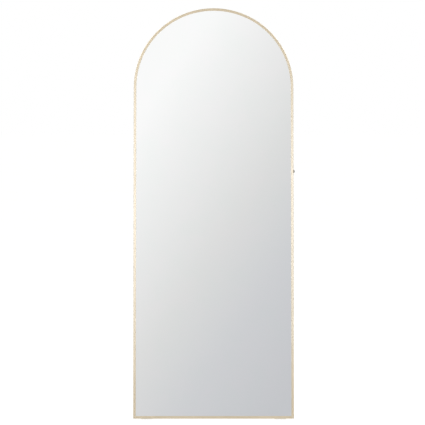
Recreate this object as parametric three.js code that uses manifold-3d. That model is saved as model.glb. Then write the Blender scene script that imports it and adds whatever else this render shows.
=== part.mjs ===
// A tall floor mirror with a half-round top. A thin bent aluminium channel holds the glass, a foam liner and a
// backing board, and the mirror leans back on a U-shaped tubular stand that is hinged behind its sides.
//
// Axes of the panel group: X to the right, Y from the mirror's face to its back, Z up along the glass.
// The panel group leans back about X, and the whole stands on Z = 0.
import * as THREE from "three";
import { mergeVertices } from "three/addons/utils/BufferGeometryUtils.js";
import Module from "manifold-3d";

const wasm = await Module();
wasm.setup();

// ---------------------------------------------------------------------------------------------------------------
// Driving dimensions, in millimetres and degrees
// ---------------------------------------------------------------------------------------------------------------

const MIRROR_WIDTH = 700;
const MIRROR_HEIGHT = 1800; // from the bottom rail to the crown of the arch
const LEAN_DEG = 7; // the glass from upright, with the stand open
const LEG_DEG = 5; // the stand from upright, when it is open

const FIT = 0.3; // clearance between neighbouring pieces

// The frame's channel: a front lip, a pocket for the glass, a web, a hardware pocket and a rear lip.
const FACE_WIDTH = 11; // the front lip, as seen from the front
const FLANGE_WIDTH = 9; // the web and the rear lip, from the outer face inwards
const FRAME_DEPTH = 30;
const FRAME_WALL = 1.6;
const FRONT_LIP_THICKNESS = 1.6;
const WEB_THICKNESS = 1.4;
const REAR_LIP_THICKNESS = 1.6;

// What the glass pocket holds
const GLASS_THICKNESS = 4;
const FOAM_THICKNESS = 1.5;
const BOARD_THICKNESS = 2.5;
const EDGE_CLEARANCE = 0.8; // from the sheets' edges to the frame's wall
const SETTING_BLOCK_LENGTH = 60;
const SETTING_BLOCK_THICKNESS = 3;

// Corner keys and the set screws that hold them
const CORNER_KEY_ARM = 42;
const SET_SCREW_RADIUS = 2;
const SET_SCREW_LENGTH = 12;
const SET_SCREW_RECESS = 0.3; // below the rear face
const CORNER_SCREW_INSET = 28; // from the corner, along each arm
const HARDWARE_INSET = 5; // screws in the rear lip, from the frame's outer face

// Cross brace between the two sides, below the arch
const BRACE_TO_SPRINGING = 70; // its centre, below the springing of the arch
const BRACE_HEIGHT = 30;
const BRACE_WALL = 1.4;
const BRACE_SCREW_LENGTH = 9;

// Stand
const TUBE_RADIUS = 8;
const TUBE_WALL = 1.2;
const TUBE_BEND_RADIUS = 60; // to the tube's centre line
const TUBE_TOP = 8.6; // the tube's end above the pivot
const PLUG_HEAD = 1.3;
const PLUG_DEPTH = 3;
const FOOT_RADIUS = 10;
const FOOT_LENGTH = 46;
const FOOT_INSET = 125; // from the mirror's side to the middle of a foot
const FOOT_SOLE_CUT = 0.4; // the flat on the underside of a foot

// Hinge of the stand
const PIVOT_HEIGHT = 1082; // along the glass, from the frame's underside
const PIVOT_DEPTH = 21.5; // behind the mirror's face
const PIVOT_SCREW_RADIUS = 3;
const BUSH_RADIUS = 4.5;
const TUBE_SIDE_PLAY = 1; // from the tube to each cheek of its bracket
const BRACKET_THICKNESS = 2;
const CHEEK_ABOVE = 46; // the outer cheek, above the pivot
const INNER_CHEEK_ABOVE = 12;
const CHEEK_BELOW = 42;
const BRIDGE_START = 14; // the sloped stop, along the leg from the pivot
const BRIDGE_END = 40;
const HINGE_BLOCK_HALF_HEIGHT = 50;
const BRACKET_SCREW_HEIGHTS = [22, 37]; // above the pivot
const BRACKET_SCREW_LENGTH = 9;
const BLOCK_SCREW_DROP = 30; // below the pivot
const CLAMP_HEAD_RADIUS = 6.25; // the dark head on the mirror's right side
const CLAMP_HEAD_HEIGHT = 4.5;
const CLAMP_SCREW_TIP = 1.5; // beyond the nut
const INSIDE_HEAD_RADIUS = 5.5;
const INSIDE_HEAD_HEIGHT = 3.3;
const NUT_ACROSS_FLATS = 10;
const NUT_THICKNESS = 5;

// Pan-head screws of the brackets, brace and hangers
const SCREW_RADIUS = 2;
const SCREW_HEAD_RADIUS = 3.6;
const SCREW_HEAD_HEIGHT = 2.2;

// Floor pads under the bottom rail
const PAD_LENGTH = 50;
const PAD_INSET = 60; // from the mirror's side to the middle of a pad
const PAD_FRONT = 14; // behind the mirror's face
const PAD_BACK = 28;
const FLOOR_CLEARANCE = 1.2; // from the floor to the frame's lowest edge

// Wall bumpers on the arch
const BUMPER_RADIUS = 4.2;
const BUMPER_HEIGHT = 6;
const BUMPER_ANGLE_DEG = 60; // round the arch, from the springing

// D-ring hangers on the cross brace
const HANGER_INSET = 130; // from the mirror's side to the middle of a hanger
const STRAP_WIDTH = 10;
const STRAP_THICKNESS = 1.2;
const STRAP_MARGIN = 1; // from the strap's lower end to the brace's edge
const LOOP_MARGIN = 3; // from the loop's centre to the brace's upper edge
const STRAP_SCREW_DROP = 20; // below the loop's centre
const STRAP_SCREW_LENGTH = 7;
const WIRE_RADIUS = 1.2;
const RING_HALF_WIDTH = 7;
const RING_DROP = 12; // to the centre of the wire at its lowest

// Facets
const ARCH_STEPS = 72; // round the half-circle
const ROUND_SIDES = 16;
const SMALL_SIDES = 12;
const BEND_STEPS = 8; // in each bend of the tube

// ---------------------------------------------------------------------------------------------------------------
// Values worked out from them
// ---------------------------------------------------------------------------------------------------------------

const lean = THREE.MathUtils.degToRad(LEAN_DEG);
const legAngle = THREE.MathUtils.degToRad(LEG_DEG);
const openAngle = lean + legAngle; // between the glass and the open stand

const halfWidth = MIRROR_WIDTH / 2;
const springing = MIRROR_HEIGHT - halfWidth;

// Depths through the channel, from the mirror's face
const glassFront = FRONT_LIP_THICKNESS + FIT;
const glassBack = glassFront + GLASS_THICKNESS;
const foamFront = glassBack + FIT;
const foamBack = foamFront + FOAM_THICKNESS;
const boardFront = foamBack + FIT;
const boardBack = boardFront + BOARD_THICKNESS;
const webFront = boardBack + FIT;
const pocketFront = webFront + WEB_THICKNESS;
const pocketBack = FRAME_DEPTH - REAR_LIP_THICKNESS;
const pocketMiddle = (pocketFront + pocketBack) / 2;
const rearSeat = FRAME_DEPTH + FIT;

// Half-widths, from the mirror's middle plane outwards
const wallInside = halfWidth - FRAME_WALL;
const flangeEdge = halfWidth - FLANGE_WIDTH;
const outerCheekOut = flangeEdge - FIT;
const outerCheekIn = outerCheekOut - BRACKET_THICKNESS;
const legCentre = outerCheekIn - TUBE_SIDE_PLAY - TUBE_RADIUS;
const innerCheekOut = legCentre - TUBE_RADIUS - TUBE_SIDE_PLAY;
const innerCheekIn = innerCheekOut - BRACKET_THICKNESS;
const hardwareLine = halfWidth - HARDWARE_INSET;
const settingBlockMiddle = halfWidth / 2; // glass rests on its quarter points
const footMiddle = halfWidth - FOOT_INSET;
const padMiddle = halfWidth - PAD_INSET;
const hangerMiddle = halfWidth - HANGER_INSET;

// Heights along the glass
const settingBlockBottom = FRAME_WALL + FIT;
const sheetBottom = settingBlockBottom + SETTING_BLOCK_THICKNESS + FIT;
const braceCentre = springing - BRACE_TO_SPRINGING;
const loopHeight = braceCentre + BRACE_HEIGHT / 2 - LOOP_MARGIN;

// The panel's lowest edge is the rear edge of its bottom rail, and the floor lies FLOOR_CLEARANCE below it.
const panelLift = FRAME_DEPTH * Math.sin(lean) + FLOOR_CLEARANCE;
const pivotAboveFloor =
  PIVOT_HEIGHT * Math.cos(lean) - PIVOT_DEPTH * Math.sin(lean) + panelLift;
const soleDepth = FOOT_RADIUS - FOOT_SOLE_CUT;
const legLength = (pivotAboveFloor - soleDepth) / Math.cos(legAngle);

// Hangers: the strap lies on the back of the brace, and its loop goes round the ring's straight bar.
const braceBack = pocketBack - FIT;
const strapFront = braceBack + FIT;
const strapBack = strapFront + STRAP_THICKNESS;
const loopBore = WIRE_RADIUS + FIT;
const loopRadius = loopBore + STRAP_THICKNESS;
const loopDepth = strapFront + loopRadius;

// ---------------------------------------------------------------------------------------------------------------
// Solids: join, cut and intersect closed geometries
// ---------------------------------------------------------------------------------------------------------------

const MERGE_TOLERANCE = 1e-4;
const OVERSHOOT = 5; // how far a cutting solid runs past what it cuts

function solidOf(geometry) {
  const bare = new THREE.BufferGeometry();
  bare.setAttribute("position", geometry.getAttribute("position"));
  bare.setIndex(geometry.index);
  const merged = mergeVertices(bare, MERGE_TOLERANCE);
  const mesh = new wasm.Mesh({
    numProp: 3,
    vertProperties: merged.getAttribute("position").array,
    triVerts: new Uint32Array(merged.index.array),
  });
  return new wasm.Manifold(mesh);
}

function geometryOf(solid) {
  const { vertProperties, triVerts } = solid.getMesh();
  const geometry = new THREE.BufferGeometry();
  geometry.setAttribute("position", new THREE.BufferAttribute(vertProperties, 3));
  geometry.setIndex(new THREE.BufferAttribute(triVerts, 1));
  geometry.computeVertexNormals();
  return geometry;
}

function join(...geometries) {
  return geometryOf(geometries.map(solidOf).reduce((whole, part) => whole.add(part)));
}

function cut(geometry, ...tools) {
  return geometryOf(tools.map(solidOf).reduce((rest, tool) => rest.subtract(tool), solidOf(geometry)));
}

function common(first, second) {
  return geometryOf(solidOf(first).intersect(solidOf(second)));
}

// ---------------------------------------------------------------------------------------------------------------
// Shapes, each placed in the panel's axes
// ---------------------------------------------------------------------------------------------------------------

// An outline in the plane of the glass, (x, z), made into a plate between two depths.
function plate(shape, front, back) {
  const geometry = new THREE.ExtrudeGeometry(shape, {
    depth: back - front,
    bevelEnabled: false,
    curveSegments: ARCH_STEPS / 2,
  });
  return geometry.rotateX(Math.PI / 2).translate(0, back, 0);
}

// A side view, as [depth, height] points, made into a bar between two places across the mirror.
function sideProfile(points, fromX, toX) {
  const shape = new THREE.Shape(points.map(([y, z]) => new THREE.Vector2(y, z)));
  const geometry = new THREE.ExtrudeGeometry(shape, { depth: Math.abs(toX - fromX), bevelEnabled: false });
  const acrossX = new THREE.Matrix4().makeBasis(
    new THREE.Vector3(0, 1, 0),
    new THREE.Vector3(0, 0, 1),
    new THREE.Vector3(1, 0, 0),
  );
  return geometry.applyMatrix4(acrossX).translate(Math.min(fromX, toX), 0, 0);
}

function block(x, y, z) {
  const size = [x, y, z].map(([from, to]) => Math.abs(to - from));
  const middle = [x, y, z].map(([from, to]) => (from + to) / 2);
  return new THREE.BoxGeometry(...size).translate(...middle);
}

function rodAlongX(radius, fromX, toX, y, z, sides = ROUND_SIDES) {
  const length = Math.abs(toX - fromX);
  const geometry = new THREE.CylinderGeometry(radius, radius, length, sides);
  return geometry.rotateZ(-Math.PI / 2).translate((fromX + toX) / 2, y, z);
}

function rodAlongY(radius, fromY, toY, x, z, sides = SMALL_SIDES) {
  const geometry = new THREE.CylinderGeometry(radius, radius, toY - fromY, sides);
  return geometry.translate(x, (fromY + toY) / 2, z);
}

// A bore whose flats clear a round piece of this radius, however the two are turned.
function boreFor(radius, sides = ROUND_SIDES) {
  return (radius + FIT) / Math.cos(Math.PI / sides);
}

// A round-headed screw along +Y: its seat is at zero, its shank below and its head above.
function screw(radius, length, headRadius, headHeight, sides = SMALL_SIDES) {
  const shoulder = headHeight * 0.45;
  const crown = headRadius * 0.6;
  const outline = [
    [0, -length],
    [radius, -length],
    [radius, 0],
    [headRadius, 0],
    [headRadius, shoulder],
    [crown, headHeight],
    [0, headHeight],
  ];
  return new THREE.LatheGeometry(outline.map(([r, y]) => new THREE.Vector2(r, y)), sides);
}

// Turns a screw's axis from +Y to +X (direction 1) or -X (direction -1) and puts its seat at a place.
function screwAlongX(geometry, direction, seatX, y, z) {
  return geometry.rotateZ((-direction * Math.PI) / 2).translate(seatX, y, z);
}

// The outline of the mirror, drawn in from its outer edge. The foot of the outline has its own height.
function archOutline(inset, bottom = inset) {
  const side = halfWidth - inset;
  const shape = new THREE.Shape();
  shape.moveTo(-side, bottom);
  shape.lineTo(side, bottom);
  shape.lineTo(side, springing);
  shape.absarc(0, springing, side, 0, Math.PI, false);
  shape.closePath();
  return shape;
}

// A band of the frame, from one inset to another and from one depth to another.
function archBand(outerInset, innerInset, front, back) {
  const shape = archOutline(outerInset);
  shape.holes.push(archOutline(innerInset));
  return plate(shape, front, back);
}

// A line that runs down, round a bend, across, round a second bend and up again, in the plane y = 0.
// It has stations only where its direction changes.
class ULine extends THREE.Curve {
  constructor(half, top, bottom, bend, bendSteps) {
    super();
    this.stations = [];
    this.addStation(-half, top, 0);
    for (const side of [-1, 1]) {
      for (let step = 0; step <= bendSteps; step++) {
        const turned = (step / bendSteps) * (Math.PI / 2);
        const angle = side < 0 ? turned : Math.PI / 2 + turned;
        const x = side * (half - bend) - bend * Math.cos(angle);
        const z = bottom + bend - bend * Math.sin(angle);
        this.addStation(x, z, angle);
      }
    }
    this.addStation(half, top, Math.PI);
  }

  // The angle is 0 where the line runs down, a quarter turn where it runs across and a half turn where it runs up.
  addStation(x, z, angle) {
    const point = new THREE.Vector3(x, 0, z);
    const last = this.stations.at(-1);
    if (last && last.point.distanceTo(point) < MERGE_TOLERANCE) return;
    const tangent = new THREE.Vector3(Math.sin(angle), 0, -Math.cos(angle));
    this.stations.push({ point, tangent });
  }

  get steps() {
    return this.stations.length - 1;
  }

  stationAt(t) {
    return this.stations[Math.round(t * this.steps)];
  }

  getUtoTmapping(u) {
    return u;
  }

  getPoint(t, target = new THREE.Vector3()) {
    return target.copy(this.stationAt(t).point);
  }

  getTangent(t, target = new THREE.Vector3()) {
    return target.copy(this.stationAt(t).tangent);
  }
}

function circleOutline(radius, sides) {
  const points = [];
  for (let side = 0; side < sides; side++) {
    const angle = (side / sides) * 2 * Math.PI;
    points.push(new THREE.Vector2(radius * Math.cos(angle), radius * Math.sin(angle)));
  }
  return points;
}

// A round bar or tube bent along a U line.
function bentRound(line, radius, boreRadius, sides) {
  const section = new THREE.Shape(circleOutline(radius, sides));
  if (boreRadius > 0) section.holes.push(new THREE.Path(circleOutline(boreRadius, sides)));
  return new THREE.ExtrudeGeometry(section, { steps: line.steps, extrudePath: line, bevelEnabled: false });
}

// ---------------------------------------------------------------------------------------------------------------
// Finishes
// ---------------------------------------------------------------------------------------------------------------

function finish(color, roughness, metalness) {
  return new THREE.MeshStandardMaterial({ color, roughness, metalness });
}

const champagneAnodised = finish(0xcfbb96, 0.32, 1);
const champagnePaint = finish(0xc9b48c, 0.42, 0.6);
const silveredGlass = finish(0xe6e9ea, 0.03, 1);
const whiteFoam = finish(0xe4e2dc, 0.95, 0);
const hardboard = finish(0x6e5540, 0.85, 0);
const clearRubber = finish(0xd8d6cf, 0.5, 0);
const blackRubber = finish(0x1f1f1e, 0.75, 0);
const blackPlastic = finish(0x242423, 0.5, 0);
const whiteNylon = finish(0xe7e4da, 0.45, 0);
const zincSteel = finish(0xb4b7b8, 0.35, 1);
const castZinc = finish(0x9a9c9d, 0.5, 1);
const millAluminium = finish(0xb9babb, 0.4, 1);
const darkSteel = finish(0x4a453d, 0.45, 0.8);

function piece(name, geometry, material) {
  const mesh = new THREE.Mesh(geometry, material);
  mesh.name = name;
  return mesh;
}

const SIDES = [
  { label: "left", sign: -1 },
  { label: "right", sign: 1 },
];

// ---------------------------------------------------------------------------------------------------------------
// Frame: the bent arch, the bottom rail, and the keys that join them
// ---------------------------------------------------------------------------------------------------------------

// The channel all the way round: a solid band, less its two pockets and less the strip that makes the web and the
// rear lip narrower than the face.
function channelLoop() {
  const inward = FACE_WIDTH + OVERSHOOT;
  return cut(
    archBand(0, FACE_WIDTH, 0, FRAME_DEPTH),
    archBand(FRAME_WALL, inward, FRONT_LIP_THICKNESS, webFront),
    archBand(FRAME_WALL, inward, pocketFront, pocketBack),
    archBand(FLANGE_WIDTH, inward, webFront - WEB_THICKNESS, FRAME_DEPTH + OVERSHOOT),
  );
}

// Everything below the two mitres. A positive growth widens it sideways.
function mitreWedge(growth) {
  const reach = FACE_WIDTH + OVERSHOOT;
  const low = halfWidth + OVERSHOOT + growth;
  const high = halfWidth - reach + growth;
  const shape = new THREE.Shape();
  shape.moveTo(-low, -OVERSHOOT);
  shape.lineTo(low, -OVERSHOOT);
  shape.lineTo(high, reach);
  shape.lineTo(-high, reach);
  shape.closePath();
  return plate(shape, -OVERSHOOT, FRAME_DEPTH + OVERSHOOT);
}

const rearScrewStart = pocketMiddle - FIT;

function rearLipHole(x, z) {
  return rodAlongY(SCREW_RADIUS + FIT, rearScrewStart, FRAME_DEPTH + OVERSHOOT, x, z);
}

function buildFrame() {
  const mitreShift = (FIT / 2) * Math.SQRT2;
  const loop = channelLoop();
  const sideHoles = SIDES.flatMap(({ sign }) => [
    rearLipHole(sign * hardwareLine, CORNER_SCREW_INSET),
    rearLipHole(sign * hardwareLine, PIVOT_HEIGHT - BLOCK_SCREW_DROP),
    rearLipHole(sign * hardwareLine, braceCentre),
  ]);
  const clampHole = rodAlongX(
    PIVOT_SCREW_RADIUS + FIT,
    flangeEdge,
    halfWidth + OVERSHOOT,
    PIVOT_DEPTH,
    PIVOT_HEIGHT,
  );
  const railHoles = SIDES.map(({ sign }) => rearLipHole(sign * (halfWidth - CORNER_SCREW_INSET), HARDWARE_INSET));
  return [
    piece("arch_frame", cut(loop, mitreWedge(mitreShift), clampHole, ...sideHoles), champagneAnodised),
    piece("bottom_rail", cut(common(loop, mitreWedge(-mitreShift)), ...railHoles), champagneAnodised),
    ...SIDES.flatMap(buildCorner),
  ];
}

// An L-shaped key in the hardware pocket of the corner, and a set screw through each of its arms.
function buildCorner({ label, sign }) {
  const near = FRAME_WALL + FIT;
  const far = FLANGE_WIDTH - FIT;
  const corner = [
    [near, near],
    [CORNER_KEY_ARM, near],
    [CORNER_KEY_ARM, far],
    [far, far],
    [far, CORNER_KEY_ARM],
    [near, CORNER_KEY_ARM],
  ];
  const shape = new THREE.Shape(corner.map(([inset, z]) => new THREE.Vector2(sign * (halfWidth - inset), z)));
  const places = [
    { where: "side", x: sign * hardwareLine, z: CORNER_SCREW_INSET },
    { where: "rail", x: sign * (halfWidth - CORNER_SCREW_INSET), z: HARDWARE_INSET },
  ];
  const holes = places.map(({ x, z }) => rearLipHole(x, z));
  const key = cut(plate(shape, pocketFront + FIT, pocketBack - FIT), ...holes);
  return [
    piece(`corner_key_${label}`, key, castZinc),
    ...places.map(({ where, x, z }) => piece(`corner_screw_${label}_${where}`, setScrew(x, z), zincSteel)),
  ];
}

function setScrew(x, z) {
  const end = FRAME_DEPTH - SET_SCREW_RECESS;
  const start = Math.max(end - SET_SCREW_LENGTH, pocketMiddle);
  return rodAlongY(SET_SCREW_RADIUS, start, end, x, z);
}

// ---------------------------------------------------------------------------------------------------------------
// Glass, liner and board, and the blocks that carry them
// ---------------------------------------------------------------------------------------------------------------

function buildSheets() {
  const outline = archOutline(FRAME_WALL + EDGE_CLEARANCE, sheetBottom);
  const blocks = SIDES.map(({ label, sign }) => {
    const middle = sign * settingBlockMiddle;
    const geometry = block(
      [middle - SETTING_BLOCK_LENGTH / 2, middle + SETTING_BLOCK_LENGTH / 2],
      [glassFront, boardBack],
      [settingBlockBottom, settingBlockBottom + SETTING_BLOCK_THICKNESS],
    );
    return piece(`setting_block_${label}`, geometry, blackRubber);
  });
  return [
    piece("mirror_glass", plate(outline, glassFront, glassBack), silveredGlass),
    piece("foam_liner", plate(outline, foamFront, foamBack), whiteFoam),
    piece("backing_board", plate(outline, boardFront, boardBack), hardboard),
    ...blocks,
  ];
}

// ---------------------------------------------------------------------------------------------------------------
// Cross brace and D-ring hangers
// ---------------------------------------------------------------------------------------------------------------

function buildBrace() {
  const front = pocketFront + FIT;
  const half = BRACE_HEIGHT / 2;
  const end = wallInside - FIT;
  const tube = cut(
    block([-end, end], [front, braceBack], [braceCentre - half, braceCentre + half]),
    block(
      [-end - OVERSHOOT, end + OVERSHOOT],
      [front + BRACE_WALL, braceBack - BRACE_WALL],
      [braceCentre - half + BRACE_WALL, braceCentre + half - BRACE_WALL],
    ),
    ...SIDES.map(({ sign }) => rearLipHole(sign * hardwareLine, braceCentre)),
    ...SIDES.map(({ sign }) => rearLipHole(sign * hangerMiddle, loopHeight - STRAP_SCREW_DROP)),
  );
  const screws = SIDES.map(({ label, sign }) => {
    const geometry = screw(SCREW_RADIUS, BRACE_SCREW_LENGTH, SCREW_HEAD_RADIUS, SCREW_HEAD_HEIGHT);
    return piece(`brace_screw_${label}`, geometry.translate(sign * hardwareLine, rearSeat, braceCentre), zincSteel);
  });
  return [piece("cross_brace", tube, millAluminium), ...screws];
}

function buildHanger({ label, sign }) {
  const x = sign * hangerMiddle;
  const across = [x - STRAP_WIDTH / 2, x + STRAP_WIDTH / 2];
  const screwHeight = loopHeight - STRAP_SCREW_DROP;
  const strapBottom = braceCentre - BRACE_HEIGHT / 2 + STRAP_MARGIN;
  const strap = cut(
    join(
      block(across, [strapFront, strapBack], [strapBottom, loopHeight]),
      rodAlongX(loopRadius, ...across, loopDepth, loopHeight),
    ),
    rodAlongX(loopBore, across[0] - OVERSHOOT, across[1] + OVERSHOOT, loopDepth, loopHeight),
    rearLipHole(x, screwHeight),
  );
  const strapScrew = screw(SCREW_RADIUS, STRAP_SCREW_LENGTH, SCREW_HEAD_RADIUS, SCREW_HEAD_HEIGHT);

  // The ring hangs straight down whatever the lean.
  const ring = new THREE.Group();
  ring.position.set(x, loopDepth, loopHeight);
  ring.rotation.x = lean;
  const line = new ULine(RING_HALF_WIDTH, 0, -RING_DROP, RING_HALF_WIDTH, BEND_STEPS / 2);
  const barEnd = RING_HALF_WIDTH + WIRE_RADIUS;
  const wire = join(
    bentRound(line, WIRE_RADIUS, 0, SMALL_SIDES),
    rodAlongX(WIRE_RADIUS, -barEnd, barEnd, 0, 0, SMALL_SIDES),
  );
  ring.add(piece(`hanger_ring_${label}`, wire, zincSteel));
  return [
    piece(`hanger_strap_${label}`, strap, zincSteel),
    piece(`hanger_screw_${label}`, strapScrew.translate(x, strapBack + FIT, screwHeight), zincSteel),
    ring,
  ];
}

// ---------------------------------------------------------------------------------------------------------------
// Hinge of the stand, one on each side
// ---------------------------------------------------------------------------------------------------------------

// A point beside the open leg, as [depth, height] from the pivot: along the leg, and behind its centre line.
function besideOpenLeg(along, behind) {
  const y = along * Math.sin(openAngle) + behind * Math.cos(openAngle);
  const z = -along * Math.cos(openAngle) + behind * Math.sin(openAngle);
  return [y, z];
}

// One bent plate: two cheeks with the leg between them, and a sloped bridge behind it that stops it when open.
function bracketGeometry(sign) {
  const front = pocketFront + FIT - PIVOT_DEPTH;
  const back = pocketBack - FIT - PIVOT_DEPTH;
  const bridgeFront = TUBE_RADIUS + FIT;
  const bridgeBack = bridgeFront + BRACKET_THICKNESS;
  const lower = besideOpenLeg(BRIDGE_END, bridgeBack);
  const upper = besideOpenLeg(BRIDGE_START, bridgeBack);
  const cheek = (top) => [
    [front, top],
    [front, -CHEEK_BELOW],
    [lower[0] - BRACKET_THICKNESS, -CHEEK_BELOW],
    lower,
    upper,
    [back, INNER_CHEEK_ABOVE / 2],
    [back, top],
  ];
  const bridge = [besideOpenLeg(BRIDGE_START, bridgeFront), besideOpenLeg(BRIDGE_END, bridgeFront), lower, upper];
  const screwHoles = BRACKET_SCREW_HEIGHTS.map((height) =>
    rodAlongX(
      SCREW_RADIUS + FIT,
      sign * innerCheekIn,
      sign * wallInside,
      pocketMiddle - PIVOT_DEPTH,
      height,
      SMALL_SIDES,
    ),
  );
  const pivotHole = rodAlongX(
    PIVOT_SCREW_RADIUS + FIT,
    sign * (innerCheekIn - OVERSHOOT),
    sign * (outerCheekOut + OVERSHOOT),
    0,
    0,
  );
  const folded = join(
    sideProfile(cheek(CHEEK_ABOVE), sign * outerCheekIn, sign * outerCheekOut),
    sideProfile(cheek(INNER_CHEEK_ABOVE), sign * innerCheekIn, sign * innerCheekOut),
    sideProfile(bridge, sign * innerCheekIn, sign * outerCheekOut),
  );
  return cut(folded, pivotHole, ...screwHoles);
}

function hingeBlockGeometry(sign) {
  const screwHoles = BRACKET_SCREW_HEIGHTS.map((height) =>
    rodAlongX(
      SCREW_RADIUS + FIT,
      sign * (flangeEdge - OVERSHOOT),
      sign * wallInside,
      pocketMiddle,
      PIVOT_HEIGHT + height,
      SMALL_SIDES,
    ),
  );
  const pivotHole = rodAlongX(
    PIVOT_SCREW_RADIUS + FIT,
    sign * (flangeEdge - OVERSHOOT),
    sign * wallInside,
    PIVOT_DEPTH,
    PIVOT_HEIGHT,
  );
  return cut(
    block(
      [sign * flangeEdge, sign * (wallInside - FIT)],
      [pocketFront + FIT, pocketBack - FIT],
      [PIVOT_HEIGHT - HINGE_BLOCK_HALF_HEIGHT, PIVOT_HEIGHT + HINGE_BLOCK_HALF_HEIGHT],
    ),
    pivotHole,
    rearLipHole(sign * hardwareLine, PIVOT_HEIGHT - BLOCK_SCREW_DROP),
    ...screwHoles,
  );
}

// On the right the pivot screw comes in from outside, with a dark head on the frame's side and a nut inside.
// On the left it comes in from inside and ends in the hinge block.
function pivotFasteners({ label, sign }) {
  if (sign < 0) {
    const seat = innerCheekIn - FIT;
    const length = wallInside - FIT - seat;
    const inside = screw(PIVOT_SCREW_RADIUS, length, INSIDE_HEAD_RADIUS, INSIDE_HEAD_HEIGHT, ROUND_SIDES);
    screwAlongX(inside, -sign, sign * seat, PIVOT_DEPTH, PIVOT_HEIGHT);
    return [piece(`pivot_screw_${label}`, inside, zincSteel)];
  }
  const seat = halfWidth + FIT;
  const nutOut = innerCheekIn - FIT;
  const nutIn = nutOut - NUT_THICKNESS;
  const length = seat - nutIn + CLAMP_SCREW_TIP;
  const clamp = screw(PIVOT_SCREW_RADIUS, length, CLAMP_HEAD_RADIUS, CLAMP_HEAD_HEIGHT, ROUND_SIDES);
  screwAlongX(clamp, sign, sign * seat, PIVOT_DEPTH, PIVOT_HEIGHT);
  const nutRadius = NUT_ACROSS_FLATS / Math.sqrt(3);
  const nut = cut(
    rodAlongX(nutRadius, sign * nutIn, sign * nutOut, PIVOT_DEPTH, PIVOT_HEIGHT, 6),
    rodAlongX(
      PIVOT_SCREW_RADIUS + FIT,
      sign * (nutIn - OVERSHOOT),
      sign * (nutOut + OVERSHOOT),
      PIVOT_DEPTH,
      PIVOT_HEIGHT,
    ),
  );
  return [piece(`pivot_screw_${label}`, clamp, darkSteel), piece(`lock_nut_${label}`, nut, zincSteel)];
}

function buildHinge(side) {
  const { label, sign } = side;
  const bush = cut(
    rodAlongX(
      BUSH_RADIUS,
      sign * (innerCheekOut + FIT),
      sign * (outerCheekIn - FIT),
      PIVOT_DEPTH,
      PIVOT_HEIGHT,
    ),
    rodAlongX(
      PIVOT_SCREW_RADIUS + FIT,
      sign * innerCheekIn,
      sign * outerCheekOut,
      PIVOT_DEPTH,
      PIVOT_HEIGHT,
    ),
  );
  const bracketScrews = BRACKET_SCREW_HEIGHTS.map((height, index) => {
    const geometry = screw(SCREW_RADIUS, BRACKET_SCREW_LENGTH, SCREW_HEAD_RADIUS, SCREW_HEAD_HEIGHT);
    screwAlongX(geometry, -sign, sign * (outerCheekIn - FIT), pocketMiddle, PIVOT_HEIGHT + height);
    return piece(`bracket_screw_${label}_${index + 1}`, geometry, zincSteel);
  });
  return [
    piece(`hinge_block_${label}`, hingeBlockGeometry(sign), castZinc),
    piece(`hinge_bracket_${label}`, bracketGeometry(sign).translate(0, PIVOT_DEPTH, PIVOT_HEIGHT), zincSteel),
    piece(`pivot_bush_${label}`, bush, whiteNylon),
    piece(`block_screw_${label}`, setScrew(sign * hardwareLine, PIVOT_HEIGHT - BLOCK_SCREW_DROP), zincSteel),
    ...bracketScrews,
    ...pivotFasteners(side),
  ];
}

// ---------------------------------------------------------------------------------------------------------------
// Stand: one bent tube with its plugs and feet, in axes with the pivot at the origin and the legs along -Z
// ---------------------------------------------------------------------------------------------------------------

function buildStand() {
  const stand = new THREE.Group();
  stand.name = "stand";
  stand.position.set(0, PIVOT_DEPTH, PIVOT_HEIGHT);
  stand.rotation.x = openAngle;

  const bore = TUBE_RADIUS - TUBE_WALL;
  const line = new ULine(legCentre, TUBE_TOP, -legLength, TUBE_BEND_RADIUS, BEND_STEPS);
  const bushHoles = SIDES.map(({ sign }) =>
    rodAlongX(boreFor(BUSH_RADIUS), sign * innerCheekOut, sign * outerCheekIn, 0, 0),
  );
  stand.add(piece("stand_tube", cut(bentRound(line, TUBE_RADIUS, bore, ROUND_SIDES), ...bushHoles), champagnePaint));

  for (const { label, sign } of SIDES) {
    const plug = join(
      new THREE.CylinderGeometry(TUBE_RADIUS, TUBE_RADIUS, PLUG_HEAD, ROUND_SIDES)
        .rotateX(Math.PI / 2)
        .translate(sign * legCentre, 0, TUBE_TOP + FIT + PLUG_HEAD / 2),
      new THREE.CylinderGeometry(bore - FIT, bore - FIT, PLUG_DEPTH, ROUND_SIDES)
        .rotateX(Math.PI / 2)
        .translate(sign * legCentre, 0, TUBE_TOP + 2 * FIT - PLUG_DEPTH / 2),
    );
    stand.add(piece(`tube_plug_${label}`, plug, blackPlastic));

    const middle = sign * footMiddle;
    const ends = [middle - FOOT_LENGTH / 2, middle + FOOT_LENGTH / 2];
    const sleeve = cut(
      rodAlongX(FOOT_RADIUS, ...ends, 0, 0, ROUND_SIDES * 2),
      rodAlongX(boreFor(TUBE_RADIUS), ends[0] - OVERSHOOT, ends[1] + OVERSHOOT, 0, 0),
      block(
        [ends[0] - OVERSHOOT, ends[1] + OVERSHOOT],
        [-FOOT_RADIUS, FOOT_RADIUS],
        [-soleDepth - OVERSHOOT, -soleDepth],
      ),
    );
    const foot = piece(`stand_foot_${label}`, sleeve, blackRubber);
    foot.position.z = -legLength;
    foot.rotation.x = -legAngle; // its sole lies level on the floor
    stand.add(foot);
  }
  return stand;
}

// ---------------------------------------------------------------------------------------------------------------
// Rubber parts on the frame
// ---------------------------------------------------------------------------------------------------------------

// The floor's height in the panel's axes, at a given depth.
function floorAt(depth) {
  return (depth * Math.sin(lean) - panelLift) / Math.cos(lean);
}

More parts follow.
